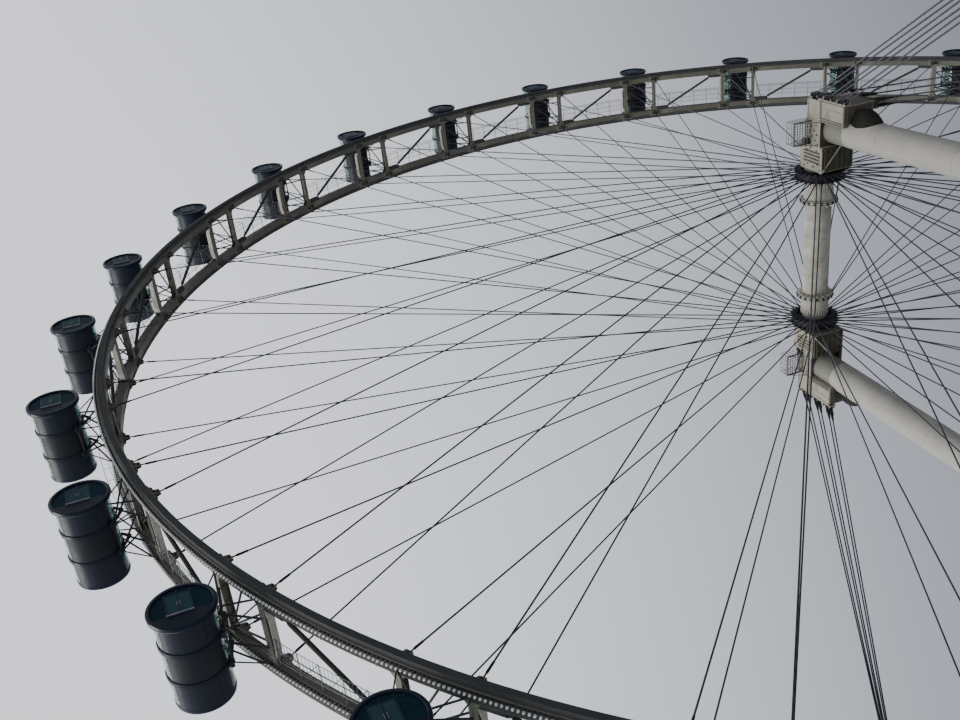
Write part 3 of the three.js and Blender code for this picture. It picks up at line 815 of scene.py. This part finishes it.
def cabin_body(form):
    """The shell: panels below, a plain belly between the rings, glass above, and what stands inside."""
    end = CABIN_HALF - 0.03
    low, high = BELLY_ARC
    for n, (y0, y1) in enumerate(((-end, -RING_Y), (-RING_Y, RING_Y), (RING_Y, end))):
        if n == 1:
            shell_panel(form, 0, 0.007, y0, y1, low, high, 26, 2)
        else:
            count = 8
            width = (high - low) / count
            for i in range(count):
                a = low + i * width
                shell_panel(form, 0, 0.006, y0, y1, a + 0.2, a + width - 0.2, 4, 0)
            shell_panel(form, 0.002, 0.008, y0, y1, low, high, 24, 0)
        shell_panel(form, 0.001, 0.0035, y0, y1, high, 360 + low, 40, 3)
    for a in range(high, 361 + low, 61):
        shell_panel(form, 0, 0.006, -end, end, a - 1, a + 1, 1, 0)
    outer, inner = CABIN_RADIUS - 0.0005, CABIN_RADIUS - 0.012
    for y in (-0.3, -RING_Y, RING_Y, 0.3):
        near, far = span(y, 0.005)
        revolve(form, [(outer, near), (outer, far), (inner, far), (inner, near)], 56, 0, loop=True)
    floor_half = math.sqrt((CABIN_RADIUS - 0.012) ** 2 - FLOOR_Z ** 2)
    block(form, (0, 0, FLOOR_Z - 0.006), (2 * floor_half, 2 * CABIN_HALF - 0.04, 0.008), None, 6)
    for y in (-0.1, 0.1):
        block(form, (0, y, FLOOR_Z + 0.042), (0.06, 0.17, 0.008), None, 6, 0.003)
        block(form, (0, y, FLOOR_Z + 0.018), (0.02, 0.12, 0.038), None, 6)


def build_cabins():
    form = Form()
    cabin_body(form)
    near_lip(form)
    far_edge(form)
    for side in (-1, 1):
        end_glazing(form, side)
    slots = [NAVY, NAVY_LIP, BELLY, WINDOW, DOOR_GLASS, SILL, INSIDE, LEAF_GLASS, END_PANEL]
    for i, angle, drum in wheel_copies("cabin_drum", form, slots):
        drum.location = AXLE + around(angle, CABIN_ORBIT)
        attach(drum, f"level_cabin_{i + 1:02d}")
        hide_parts(f"cabin_{i + 1:02d}")


# Spokes

HUB_SOCKET = ((-0.005, 0.0105), (0.008, 0.0105), (0.013, 0.0085), (0.03, 0.006))
RIM_SOCKET = ((-0.14, 0.0048), (-0.128, 0.0078), (-0.056, 0.0085), (-0.046, 0.0052), (0, 0.0052))


def build_spokes():
    for name, side in SIDES.items():
        form = Form()
        y = side * SPOKE_FLANGE_Y
        half = [(FLANGE_BORE, 0.025), (0.168, 0.025), (0.172, 0.05), (0.2, 0.052), (0.216, 0.044),
                (FLANGE_RADIUS - 0.008, 0.028)]
        disc = [(r, -t) for r, t in half] + [(r, t) for r, t in reversed(half)]
        revolve(form, [(r, y + t) for r, t in disc], 84, 1, AXLE, loop=True)
        for i in range(CABIN_COUNT):
            rim_angle = FIRST_CABIN + (i - side * RUNG_AT) * BAY
            for chord_side in (-1, 1):
                radial = polar(rim_angle + chord_side * SPOKE_LEAD)[0]
                foot = AXLE + radial * SPOKE_FOOT + Vector((0, y + chord_side * FOOT_SPACING / 2, 0))
                rim = AXLE + around(rim_angle, CHORD_IN - 0.05, chord_side * sum(CHORD_Y) / 2)
                reach = (rim - foot).normalized()
                block(form, foot - reach * 0.012, (0.024, 0.02, 0.026), (reach, *across(reach)), 1, 0.003)
                sleeve(form, foot, reach, HUB_SOCKET, 10, 1)
                tube(form, [foot + reach * 0.025, rim - reach * 0.125], 0.0058, 8, 0)
                sleeve(form, rim, reach, RIM_SOCKET, 10, 1)
        spokes = object_from(f"{name}_spoke_cables", form, [ROPE, SOCKET])
        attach(spokes, "wheel")
        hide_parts(f"{name}_spokes")


# Hub

def build_hub():
    form = Form()
    tube_radius = 0.125
    half = [(tube_radius, 0.0)]
    for seam in (0.12, 0.3):
        half += [(tube_radius, seam), (tube_radius + 0.0012, seam + 0.002)]
        half += [(tube_radius + 0.0012, seam + 0.006), (tube_radius, seam + 0.008)]
    neck = FLANGE_BORE - 0.001
    half += [
        (tube_radius, 0.484), (0.168, 0.486), (0.173, 0.491), (0.173, 0.524), (0.168, 0.529), (0.151, 0.531),
        (0.149, 0.536), (0.1215, 0.7), (neck, 0.706), (neck, 0.809), (0.117, 0.812), (0.103, 0.812),
    ]
    profile = [(r, -y) for r, y in reversed(half)] + half[1:]
    revolve(form, profile, 72, 0, AXLE, loop=True)
    for side in (-1, 1):
        y = side * 0.507
        for n in range(18):
            axes = polar(2 * math.pi * n / 18)
            radial = axes[0]
            block(form, AXLE + radial * 0.176 + Vector((0, y, 0)), (0.014, 0.02, 0.03), axes, 1, 0.002)
            block(form, AXLE + radial * 0.148 + Vector((0, side * 0.478, 0)), (0.046, 0.004, 0.014), axes, 0)
        for offset in (-0.012, 0.012):
            ring(form, (0.172, 0.177), span(y + offset, 0.002), 48, 1)
        for n in range(30):
            rod = AXLE + polar(2 * math.pi * n / 30)[0] * 0.132
            tube(form, [rod + Vector((0, side * y, 0)) for y in (0.66, 0.706)], 0.0045, 6, 0)
    hub = object_from("hub_tube", form, [HUB_PAINT, DARK_STEEL, SOCKET])
    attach(hub, "wheel")
    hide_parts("hub")


def build_spindle():
    form = Form()
    grooves = [(SHAFT_RADIUS, -SHAFT_HALF + 0.004)]
    for n in range(9):
        y = -0.8 + n * 0.2
        grooves += [(SHAFT_RADIUS, y - 0.006), (SHAFT_RADIUS - 0.002, y - 0.004)]
        grooves += [(SHAFT_RADIUS - 0.002, y + 0.004), (SHAFT_RADIUS, y + 0.006)]
    grooves.append((SHAFT_RADIUS, SHAFT_HALF - 0.004))
    rim = SHAFT_RADIUS - 0.004
    profile = [(0, -SHAFT_HALF), (rim, -SHAFT_HALF), *grooves, (rim, SHAFT_HALF), (0, SHAFT_HALF)]
    revolve(form, profile, 48, 0, AXLE)
    shaft = object_from("spindle_shaft", form, [SHAFT])
    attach(shaft, "structure")
    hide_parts("spindle")


# Column heads

def across_face(face, x, inside, outside):
    """The limits along X of a plate on the face at x, from inside it to outside it."""
    return sorted((face * (x - inside), face * (x + outside)))


def spot(side, x, out, up):
    """A point by its distances from the hub: along X, outward along the axle, and up."""
    return Vector((x, side * out, HUB_HEIGHT + up))


def brick(form, side, x, out, up, mat=0, edge=0.0015):
    """A chamfered box by its limits along X, outward and up."""
    size = (x[1] - x[0], out[1] - out[0], up[1] - up[0])
    block(form, spot(side, sum(x) / 2, sum(out) / 2, sum(up) / 2), size, None, mat, edge)


def slab(form, side, outline, out, mat=0, edge=0.003):
    """A convex outline of (x, up) carried along the axle, with chamfered ends."""
    middle = sum((Vector(p) for p in outline), Vector((0, 0))) / len(outline)
    verts = []
    for depth, inset in ((out[0], edge), (out[0] + edge, 0), (out[1] - edge, 0), (out[1], edge)):
        for p in outline:
            reach = Vector(p) - middle
            reach *= 1 - inset / reach.length
            verts.append(spot(side, middle.x + reach.x, depth, middle.y + reach.y))
    n = len(outline)
    faces = [list(range(n)), list(range(3 * n, 4 * n))]
    for row in range(3):
        for i in range(n):
            j = (i + 1) % n
            faces.append([row * n + i, row * n + j, (row + 1) * n + j, (row + 1) * n + i])
    centre = spot(side, middle.x, sum(out) / 2, middle.y)
    form.add(verts, [outward(face, verts, centre) for face in faces], mat)


def bolt(form, place, direction, radius=0.0042, height=0.005, mat=2):
    direction = Vector(direction)
    tube(form, [Vector(place) - direction * 0.001, Vector(place) + direction * height], radius, 6, mat)


def bearing_box(form, side):
    """The round-topped box of the bearing, with its bolted neck towards the hub and two bands."""
    outline = [(-BEARING_HALF, BEARING_BOTTOM), (BEARING_HALF, BEARING_BOTTOM)]
    shoulder = math.acos(BEARING_HALF / BEARING_TOP)
    steps = 20
    turns = [shoulder + (math.pi - 2 * shoulder) * i / steps for i in range(steps + 1)]
    outline += [(BEARING_TOP * math.cos(a), BEARING_TOP * math.sin(a)) for a in turns]
    slab(form, side, outline, BEARING, 0)
    ring(form, (0.1, 0.15), (side * NECK[0], side * NECK[1]), 48)
    for n in range(22):
        radial = polar(2 * math.pi * n / 22)[0]
        bolt(form, AXLE + radial * 0.166 + Vector((0, side * BEARING[0], 0)), (0, -side, 0))
    for out in (0.885, 1.075):
        low, high = side * (out - 0.008), side * (out + 0.008)
        inner, outer = BEARING_TOP - 0.002, BEARING_TOP + 0.006
        band = [(inner, low), (outer, low), (outer, high), (inner, high)]
        revolve(form, band, 24, 0, AXLE, shoulder, math.pi - 2 * shoulder, True)


def bearing_sides(form, side):
    """Ribs, dark gaps and small fittings on the two sides of the box. The gaps are thin dark strips of
    painted shade between the ribs.
    """
    for face in (-1, 1):
        for n in range(4):
            out = 0.93 + n * 0.033
            rib = across_face(face, BEARING_HALF, 0.001, 0.007)
            brick(form, side, rib, span(out, 0.006), (-0.225, 0.03), 0)
            # A thin dark strip in each gap: painted shade.
            gap = across_face(face, BEARING_HALF, 0.001, 0.0012)
            brick(form, side, gap, (out + 0.01, out + 0.024), (-0.215, 0.02), 1, 0.0005)
        for n in range(14):
            out, up = 0.885 + 0.205 * (n * 0.618 % 1), -0.22 + n * 0.0175
            x = across_face(face, BEARING_HALF, 0.001, 0.005 + 0.003 * (n % 3))
            brick(form, side, x, span(out, 0.008), span(up, 0.0035), 1 + n % 2, 0.001)


def bearing_underside(form, side):
    """The dark grating under the box, and the plate with straps on the saddle's edge. Their dark colour is
    painted shade on the underside and on the shaded +X side.
    """
    low = BEARING_BOTTOM
    brick(form, side, (-0.172, 0.172), (0.867, 1.1), (low - 0.006, low + 0.001), 1)
    for n in range(6):
        brick(form, side, span(-0.15 + n * 0.06, 0.005), (0.872, 1.098), (low - 0.02, low - 0.005), 1)
    for out in (0.9, 1.06):
        brick(form, side, (-0.165, 0.165), span(out, 0.004), (low - 0.016, low - 0.005), 1)
    brick(form, side, (0.146, BEARING_HALF), (1.1, 1.3), (low, -0.01), 1)
    for up in (-0.19, -0.12, -0.05):
        brick(form, side, across_face(1, BEARING_HALF, 0.002, 0.006), (1.11, 1.29), span(up, 0.005), 1)


def saddle(form, side):
    ends = (SADDLE[0] - 0.002, SADDLE[1] + 0.001)
    brick(form, side, (-SADDLE_HALF, SADDLE_HALF), ends, (HEAD_BOTTOM, 0.02), 0, 0.004)
    # A thin dark sheet under the saddle: painted shade.
    brick(form, side, (-0.165, 0.165), (1.108, 1.336), (HEAD_BOTTOM - 0.005, HEAD_BOTTOM + 0.001), 1)
    for face in (-1, 1):
        x = face * SADDLE_HALF
        for row in range(6):
            for column in range(8):
                place = spot(side, x, 1.125 + column * 0.028, -0.175 + row * 0.034)
                bolt(form, place, (face, 0, 0), 0.0036, 0.0035)
        for n in range(12):
            step = across_face(face, SADDLE_HALF, 0.001, 0.006)
            up = span(-0.17 + 0.17 * (n * 0.618 % 1), 0.0025)
            brick(form, side, step, span(1.12 + n * 0.018, 0.009), up, 2, 0.0005)
        for up in (-0.19, 0.015):
            brick(form, side, across_face(face, SADDLE_HALF, 0.001, 0.004), SADDLE, span(up, 0.005), 0)
    for out, up in ((1.1, 0.0), (1.118, -0.045)):
        brick(form, side, (-0.194, -0.17), span(out, 0.014), (up - 0.02, up + 0.022), 2, 0.004)
        tube(form, [spot(side, -0.186, out, up), spot(side, -0.186, out + 0.05, up)], 0.009, 10, 2)
    hatch = (0.0195, 0.028)
    brick(form, side, (-0.12, -0.02), (1.15, 1.28), hatch, 2, 0.002)
    brick(form, side, (0.03, 0.12), (1.15, 1.28), hatch, 0, 0.002)


def end_block(form, side):
    end = HEAD[1]
    brick(form, side, (-HEAD_HALF, HEAD_HALF), HEAD, (HEAD_BOTTOM, HEAD_TOP), 0, 0.005)
    for face in (-1, 1):
        x = face * HEAD_HALF
        edge = across_face(face, HEAD_HALF, 0.001, 0.004)
        for up in (HEAD_BOTTOM + 0.008, HEAD_TOP - 0.008):
            brick(form, side, edge, HEAD, span(up, 0.006), 0)
        for out in (HEAD[0] + 0.006, HEAD[1] - 0.008):
            brick(form, side, edge, span(out, 0.006), (HEAD_BOTTOM, HEAD_TOP), 0)
        corner = [(0.03, -0.04), (0.15, -0.1), (0.03, -0.16)]
        prism(form, corner, spot(side, x, HEAD[0], 0), (0, side, 0), (0, 0, 1), 0.0025, 0)
        for n in range(6):
            place = spot(side, x, HEAD[0] + 0.02 + n * 0.032, HEAD_TOP - 0.022)
            bolt(form, place, (face, 0, 0), 0.0036, 0.004)
    for n in range(9):
        x = -0.16 + n * 0.04
        lump = 0.008 + 0.006 * (n % 3)
        block_up, fitting_up = (HEAD_BOTTOM - 0.002, -0.15), (-0.145, -0.05 - 0.02 * (n % 2))
        brick(form, side, span(x, 0.011), (end - 0.002, end + lump), block_up, 3, 0.003)
        brick(form, side, (x - 0.005, x + 0.012), (end - 0.002, end + lump + 0.012), fitting_up, 2, 0.003)
    # A thin dark sheet over the outer end face: painted shade.
    end_shade_up = (HEAD_BOTTOM + 0.012, HEAD_TOP - 0.012)
    brick(form, side, (-0.16, 0.16), (end - 0.002, end + 0.0015), end_shade_up, 1, 0.0008)
    for x in (-0.1, 0.1):
        for out in (1.38, 1.5):
            lug_up = (HEAD_TOP - 0.002, HEAD_TOP + 0.026)
            brick(form, side, span(x, 0.004), span(out, 0.016), lug_up, 2)


def edge_pipes(form, side):
    """The light strip along the lower left edge and the pipe under the bearing box."""
    low = BEARING_BOTTOM - 0.003
    x = -BEARING_HALF - 0.002
    step = HEAD_BOTTOM - 0.004
    pipe = BEARING_BOTTOM - 0.022
    edge = [(x, 0.862, low), (x, 1.075, low), (x + 0.004, 1.112, step - 0.006), (x + 0.006, 1.135, step),
            (x + 0.006, 1.338, step)]
    under = [(x + 0.004, 0.866, pipe + 0.012), (0.0, 1.08, pipe), (0.048, 1.135, pipe)]
    upright = [(x, 0.866, pipe + 0.014), (x, 0.866, low + 0.02)]
    for route, radius in ((edge, 0.0075), (under, 0.0075), (upright, 0.009)):
        tube(form, [spot(side, *place) for place in route], radius, 10, 3)


def build_heads():
    for name, side in SIDES.items():
        form = Form()
        bearing_box(form, side)
        bearing_sides(form, side)
        bearing_underside(form, side)
        saddle(form, side)
        end_block(form, side)
        edge_pipes(form, side)
        head = object_from(f"{name}_column_head", form, [HEAD_PAINT, SHADOWED_OLIVE, DARK_STEEL, LEG_PAINT])
        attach(head, "structure")
        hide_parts(f"{name}_bearing_housing")


def platform_deck(form, side):
    """A grating on bearers, with a toe board round it and two braces down to the housing."""
    x0, x1 = DECK_X
    out0, out1 = DECK_OUT
    toe_board = (DECK_UP - 0.014, DECK_UP + 0.012)
    for n in range(9):
        slat = span(out0 + 0.008 + n * (out1 - out0 - 0.016) / 8, 0.001)
        brick(form, side, (x0 + 0.006, x1 - 0.001), slat, (DECK_UP - 0.006, DECK_UP), 0, 0.0004)
    for n in range(7):
        bearer = span(x0 + 0.01 + n * (x1 - x0 - 0.02) / 6, 0.0015)
        brick(form, side, bearer, DECK_OUT, (DECK_UP - 0.01, DECK_UP - 0.002), 0, 0.0004)
    brick(form, side, (x0, x0 + 0.006), DECK_OUT, toe_board, 0)
    for out in (out0 + 0.003, out1 - 0.003):
        brick(form, side, DECK_X, span(out, 0.003), toe_board, 0)
        brace = [spot(side, x0 + 0.03, out, DECK_UP - 0.01), spot(side, x1, out, DECK_UP - 0.11)]
        tube(form, brace, 0.004, 8, 0)


def platform_rail(form, side):
    """Three rails on posts round the deck's open edges."""
    inner, outer = DECK_X[1] - 0.006, DECK_X[0] + 0.004
    near, far = DECK_OUT[0] + 0.004, DECK_OUT[1] - 0.004
    path = [(inner, near), (outer, near), (outer, far), (inner, far)]
    for height in (0.04, 0.078, 0.113):
        for ends in zip(path, path[1:]):
            tube(form, [spot(side, x, out, DECK_UP + height) for x, out in ends], 0.002, 8, 0)
    for (xa, ya), (xb, yb) in zip(path, path[1:]):
        for n in range(5):
            x, out = xa + (xb - xa) * n / 4, ya + (yb - ya) * n / 4
            post = [spot(side, x, out, DECK_UP + height) for height in (-0.012, 0.115)]
            tube(form, post, 0.002, 8, 0)


def build_platforms():
    for name, side in SIDES.items():
        form = Form()
        platform_deck(form, side)
        platform_rail(form, side)
        # The platform takes the darker bracket colour: painted shade.
        platform = object_from(f"{name}_service_platform", form, [SHADED_BRACKET])
        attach(platform, "structure")
        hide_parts(f"{name}_platform")


# Legs

def leg_axis(side, height):
    """The leg's centre at a height above the ground."""
    top = HUB_HEIGHT + HEAD_BOTTOM + 0.06
    share = height / top
    return Vector((0, side * (LEG_FOOT + (LEG_TOP - LEG_FOOT) * share), height))


def knuckle(form, side):
    """The dark rounded bulge on the leg's outer side."""
    wide, deep, tall = KNUCKLE_SIZE
    rows, columns = 10, 36
    verts = []
    for r in range(rows + 1):
        tilt = math.pi / 2 * r / rows
        reach, out = math.sin(tilt), KNUCKLE_OUT + deep * math.cos(tilt)
        for c in range(columns):
            a = 2 * math.pi * c / columns
            verts.append(spot(side, wide * reach * math.cos(a), out, KNUCKLE_UP + tall * reach * math.sin(a)))
    faces = []
    for r in range(1, rows):
        for c in range(columns):
            d = (c + 1) % columns
            faces.append([r * columns + c, r * columns + d, (r + 1) * columns + d, (r + 1) * columns + c])
    faces.append([columns + c for c in range(columns)])
    centre = spot(side, 0, KNUCKLE_OUT - 0.05, KNUCKLE_UP)
    form.add(verts, [outward(face, verts, centre) for face in faces], 4)


def knuckle_edges(form, side):
    """Ribs round the knuckle, and a light weld where it meets the leg."""
    wide, deep, tall = KNUCKLE_SIZE
    for n in range(5):
        dz = -0.14 + n * 0.07
        share = math.sqrt(1 - (dz / tall) ** 2)
        rib = []
        for i in range(15):
            a = math.pi * i / 14
            out = KNUCKLE_OUT + deep * share * math.sin(a)
            rib.append(spot(side, wide * share * math.cos(a), out, KNUCKLE_UP + dz))
        tube(form, rib, 0.0016, 6, 4)
    for half in (-1, 1):
        weld = []
        for i in range(21):
            x = wide * 0.98 * (-1 + i / 10)
            out = LEG_TOP + math.sqrt(LEG_RADIUS ** 2 - x ** 2)
            flat = (x / wide) ** 2 + ((out - KNUCKLE_OUT) / deep) ** 2
            up = KNUCKLE_UP + half * tall * math.sqrt(max(1 - flat, 0))
            axis = abs(leg_axis(side, HUB_HEIGHT + up).y)
            weld.append(spot(side, x, out - LEG_TOP + axis + 0.001, up))
        tube(form, weld, 0.006, 8, 0, False)


def haunch(form, side):
    """The box between the leg and the column head, with straps and a ledge on its sides."""
    height = (HAUNCH_BOTTOM, HEAD_BOTTOM + 0.001)
    ledge = (HAUNCH_BOTTOM + 0.002, HAUNCH_BOTTOM + 0.014)
    brick(form, side, (-HAUNCH_HALF, HAUNCH_HALF), (HEAD[0] + 0.001, HEAD[1] - 0.002), height, 6, 0.004)
    for face in (-1, 1):
        x = across_face(face, HAUNCH_HALF, 0.001, 0.004)
        for out in (HEAD[1] - 0.01, HEAD[1] - 0.07):
            brick(form, side, x, span(out, 0.006), height, 6)
        brick(form, side, x, (HEAD[0] + 0.02, HEAD[1] - 0.004), ledge, 6)


def haunch_faces(form, side):
    """Painted shade on the haunch: dark sheets over its underside and end, dark strips under it, and a dark
    triangle of painted cast shadow on each side; also the pipes on its sides.
    """
    inset = HAUNCH_HALF - 0.008
    ends = (HEAD[0] + 0.002, HEAD[1] - 0.008)
    # Thin dark sheets over the underside and the outer end: painted shade.
    brick(form, side, (-inset, inset), ends, (HAUNCH_BOTTOM - 0.004, HAUNCH_BOTTOM + 0.001), 1)
    end_shade = (HEAD[1] - 0.003, HEAD[1] + 0.0005)
    brick(form, side, (-inset, inset), end_shade, (HAUNCH_BOTTOM + 0.008, HEAD_BOTTOM), 1)
    for n in range(5):
        x = span(-0.12 + n * 0.06, 0.003)
        brick(form, side, x, ends, (HAUNCH_BOTTOM - 0.009, HAUNCH_BOTTOM), 1, 0.001)
    for face in (-1, 1):
        x = face * (HAUNCH_HALF + 0.008)
        for out in (HEAD[0] + 0.012, HEAD[0] + 0.034):
            route = ((x, HEAD_BOTTOM + 0.01), (x, HAUNCH_BOTTOM + 0.02),
                     (face * (HAUNCH_HALF - 0.03), HAUNCH_BOTTOM - 0.004))
            tube(form, [spot(side, across_x, out, up) for across_x, up in route], 0.006, 8, 5)
        # A dark triangle on each side: a painted cast shadow.
        shade = [(0.02, -0.21), (0.15, -0.3), (0.02, -0.33)]
        prism(form, shade, spot(side, face * HAUNCH_HALF, HEAD[0], 0), (0, side, 0), (0, 0, 1), 0.003, 5)


def leg_foot(form, side):
    base = Vector((0, side * LEG_FOOT, 0))
    up = Vector((0, 0, 1))
    tube(form, [base, base + up * 0.062, base + up * 0.07], [0.235, 0.235, 0.228], 64, 2)
    tube(form, [base + up * 0.069, base + up * 0.086], 0.196, 64, 0)
    for n in range(20):
        a = 2 * math.pi * (n + 0.5) / 20
        radial = Vector((math.cos(a), math.sin(a), 0))
        tangent = Vector((-radial.y, radial.x, 0))
        plate = [(0.135, 0.08), (0.19, 0.08), (0.19, 0.1), (0.15, 0.17), (0.135, 0.17)]
        prism(form, plate, base, radial, up, 0.006, 0)
        nut = base + radial * 0.176 + tangent * 0.024 + up * 0.086
        tube(form, [nut, nut + up * 0.014], 0.0075, 6, 3)
        tube(form, [nut, nut + up * 0.026], 0.0042, 8, 3)


def build_legs():
    for name, side in SIDES.items():
        form = Form()
        top = HUB_HEIGHT + HEAD_BOTTOM + 0.012
        shoulder = leg_axis(side, HUB_HEIGHT - LEG_SHADE)
        seam_profile = [(-0.004, LEG_RADIUS), (-0.002, LEG_RADIUS + 0.0012), (0.002, LEG_RADIUS + 0.0012),
                        (0.004, LEG_RADIUS)]
        tube(form, [leg_axis(side, 0.03), shoulder], LEG_RADIUS, 72, 0)
        # Above the LEG_SHADE line the leg takes the darker colour: a painted shadow cast by the head.
        tube(form, [shoulder, leg_axis(side, top)], LEG_RADIUS - 0.001, 72, 5)
        lean = (leg_axis(side, 1) - leg_axis(side, 0)).normalized()
        for n in range(1, 10):
            sleeve(form, leg_axis(side, n * 0.9), lean, seam_profile, 72, 0, False)
        haunch(form, side)
        haunch_faces(form, side)
        knuckle(form, side)
        knuckle_edges(form, side)
        leg_foot(form, side)
        slots = [LEG_PAINT, SHADOWED_UMBER, CONCRETE, DARK_STEEL, KNUCKLE, LEG_TOP_SHADOW, HEAD_PAINT]
        leg = object_from(f"{name}_leg_tube", form, slots)
        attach(leg, "structure")
        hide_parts(f"{name}_leg")


# Guy stays

def stay_head(form, side, stay):
    """The bracket on the column head: a back plate with cheeks between the pairs, and the socket pins."""
    (x0, x1), (out0, out1), (low, high) = stay["bar"]
    lying = stay["twin"][1] == 0
    paint = 4 if lying else 5
    if lying:
        brick(form, side, (x0, x1), (out0, out0 + 0.016), (low, high), paint)
    else:
        brick(form, side, (x0, x0 + 0.016), (out0, out1), (low, high), paint)
    for pair in (-1, 0, 1):
        drop = stay["top"][2] - pair * stay["drop"]
        for end in (-0.05, 0.05):
            brick(form, side, (x0, x1), (out0, out1), span(drop + end, 0.005), paint)
        for half in (-0.5, 0.5):
            out = stay["top"][1] + half * stay["twin"][1]
            up = drop - half * stay["twin"][2]
            tube(form, [spot(side, x0 - 0.004, out, up), spot(side, x1 + 0.004, out, up)], 0.009, 12, 2)


def stay_anchor(form, ground, along, across_way, spread):
    up = Vector((0, 0, 1))
    axes = (along, across_way, up)
    length, width, height = ANCHOR
    block(form, ground + up * (height - 0.012) / 2, (length, width, height - 0.012), axes, 3, 0.006)
    block(form, ground + up * (height - 0.007), (length - 0.04, width - 0.03, 0.014), axes, 1)
    for pair in (-1, 0, 1):
        middle = ground - along * pair * ANCHOR_STEP + up * height
        for half in (-0.5, 0.5):
            for cheek in (-0.014, 0.014):
                place = middle + across_way * (half * spread + cheek)
                cheek_plate = [(-0.035, -0.002), (0.035, -0.002), (0.012, 0.03), (-0.012, 0.03)]
                prism(form, cheek_plate, place, along, up, 0.006, 1)
    for end in (-0.2, -0.09, 0.09, 0.2):
        for edge in (-0.07, 0.07):
            bolt(form, ground + along * end + across_way * edge + up * height, (0, 0, 1), 0.008, 0.012)


STAY_COLLAR = ((-0.01, 0.02), (0.03, 0.02), (0.034, 0.015), (0.052, 0.015))
STAY_SOCKET = ((0.05, 0.0135), (0.14, 0.0135), (0.19, 0.009), (0.2, 0.006))
STAY_TENSIONER = ((-0.31, 0.007), (-0.29, 0.012), (-0.17, 0.014), (-0.15, 0.009), (0, 0.009))


def stay_cable(form, top, foot):
    """A cable with a socket at its head and a tensioning sleeve at its foot."""
    reach = (foot - top).normalized()
    sleeve(form, top, reach, STAY_COLLAR, 12, 2)
    sleeve(form, top, reach, STAY_SOCKET, 12, 2)
    u, v = across(reach)
    for turn in range(4):
        a = math.pi * (turn + 0.5) / 2
        offset = (u * math.cos(a) + v * math.sin(a)) * 0.018
        tube(form, [top + offset, top + offset + reach * 0.12], 0.003, 6, 2)
    tube(form, [top + reach * 0.19, foot - reach * 0.3], 0.0068, 8, 0)
    sleeve(form, foot, reach, STAY_TENSIONER, 10, 2)


def build_stays():
    for name, side in SIDES.items():
        for where, stay in STAYS.items():
            form = Form()
            stay_head(form, side, stay)
            x, out = stay["anchor"]
            ground = Vector((x, side * out, 0))
            along = Vector((-stay["way"] * 0.917, side * 0.4, 0)).normalized()
            across_way = Vector((-along.y, along.x, 0))
            stay_anchor(form, ground, along, across_way, stay["spread"])
            for pair in (-1, 0, 1):
                for half in (-0.5, 0.5):
                    turn = [half * step for step in stay["twin"]]
                    up = stay["top"][2] - pair * stay["drop"] - turn[2]
                    top = spot(side, stay["top"][0] + turn[0], stay["top"][1] + turn[1], up)
                    foot = ground - along * pair * ANCHOR_STEP + across_way * half * stay["spread"]
                    stay_cable(form, top, foot + Vector((0, 0, ANCHOR[2] + 0.01)))
            slots = [ROPE, DARK_STEEL, SOCKET, CONCRETE, HEAD_PAINT, SHADOWED_OLIVE]
            stays = object_from(f"{name}_{where}_stay_cables", form, slots)
            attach(stays, "structure")
            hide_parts(f"{name}_{where}_stays")


build_rim()
build_cabins()
build_spokes()
build_hub()
build_spindle()
build_heads()
build_platforms()
build_legs()
build_stays()


# Floor, light and camera

def build_stage():
    form = Form()
    block(form, (0, 0, -0.0505), (400, 400, 0.1), None, 0, 0.01)
    shader = Shader(bpy.data.materials.new("studio_floor"))
    soft = shader.noise(shader.place(), 0.4, 3, 0.5)
    colour = shader.ramp(soft, (0.3, (0.41, 0.415, 0.42)), (0.7, (0.45, 0.455, 0.46)))
    floor = object_from("studio_floor", form, [shader.finish({"Base Color": colour, "Roughness": 0.8})])


def area_light(name, place, aim, size, power, colour):
    data = bpy.data.lights.new(name, "AREA")
    data.shape = "DISK"
    data.size = size
    data.energy = power
    data.color = colour
    light = linked(bpy.data.objects.new(name, data))
    light.location = place
    light.rotation_mode = "QUATERNION"
    light.rotation_quaternion = (Vector(aim) - Vector(place)).to_track_quat("-Z", "Y")


def build_camera():
    """The view of the photo, from its fitted focal length, place and directions."""
    data = bpy.data.cameras.new("photo_view")
    photo_width, focal_pixels = 960, 1065.3
    data.sensor_width = 36.0
    data.sensor_fit = "HORIZONTAL"
    data.lens = focal_pixels / photo_width * data.sensor_width
    data.clip_start = 0.1
    data.clip_end = 500.0
    camera = linked(bpy.data.objects.new("photo_view", data))
    right = Vector((0.92382, 0.10441, -0.36831))
    up = Vector((0.25408, -0.88686, 0.3859))
    back = -Vector((0.28635, 0.45008, 0.84583))
    turn = Matrix((right, up, back)).transposed().to_4x4()
    stand = (-6.477, -4.163, 0.758)
    camera.matrix_world = Matrix.Translation(stand) @ turn
    bpy.context.scene.camera = camera


def build_world():
    """Soft pale light from above, strongest towards -X and +Y."""
    world = bpy.data.worlds.new("studio")
    bpy.context.scene.world = world
    shader = Shader(world, "Background")
    lean = shader.tree.nodes.new("ShaderNodeVectorMath")
    lean.operation = "DOT_PRODUCT"
    shader.fill(lean, {0: shader.place("Generated"), 1: (-0.9, 0.6, 0.9)})
    dark, middle, bright = (0.17, 0.18, 0.205), (0.39, 0.41, 0.46), (0.9, 0.92, 0.97)
    colour = shader.ramp(lean.outputs["Value"], (0.0, dark), (0.4, middle), (1.0, bright))
    shader.finish({"Color": colour, "Strength": 1.25})


build_stage()
build_world()
area_light("key", (-28, 7, 9), (0, 0, 9), 14, 5000, (1.0, 0.96, 0.9))
area_light("fill", (-14, 20, 8), (0, 0, 9), 12, 500, (1.0, 0.98, 0.95))
build_camera()
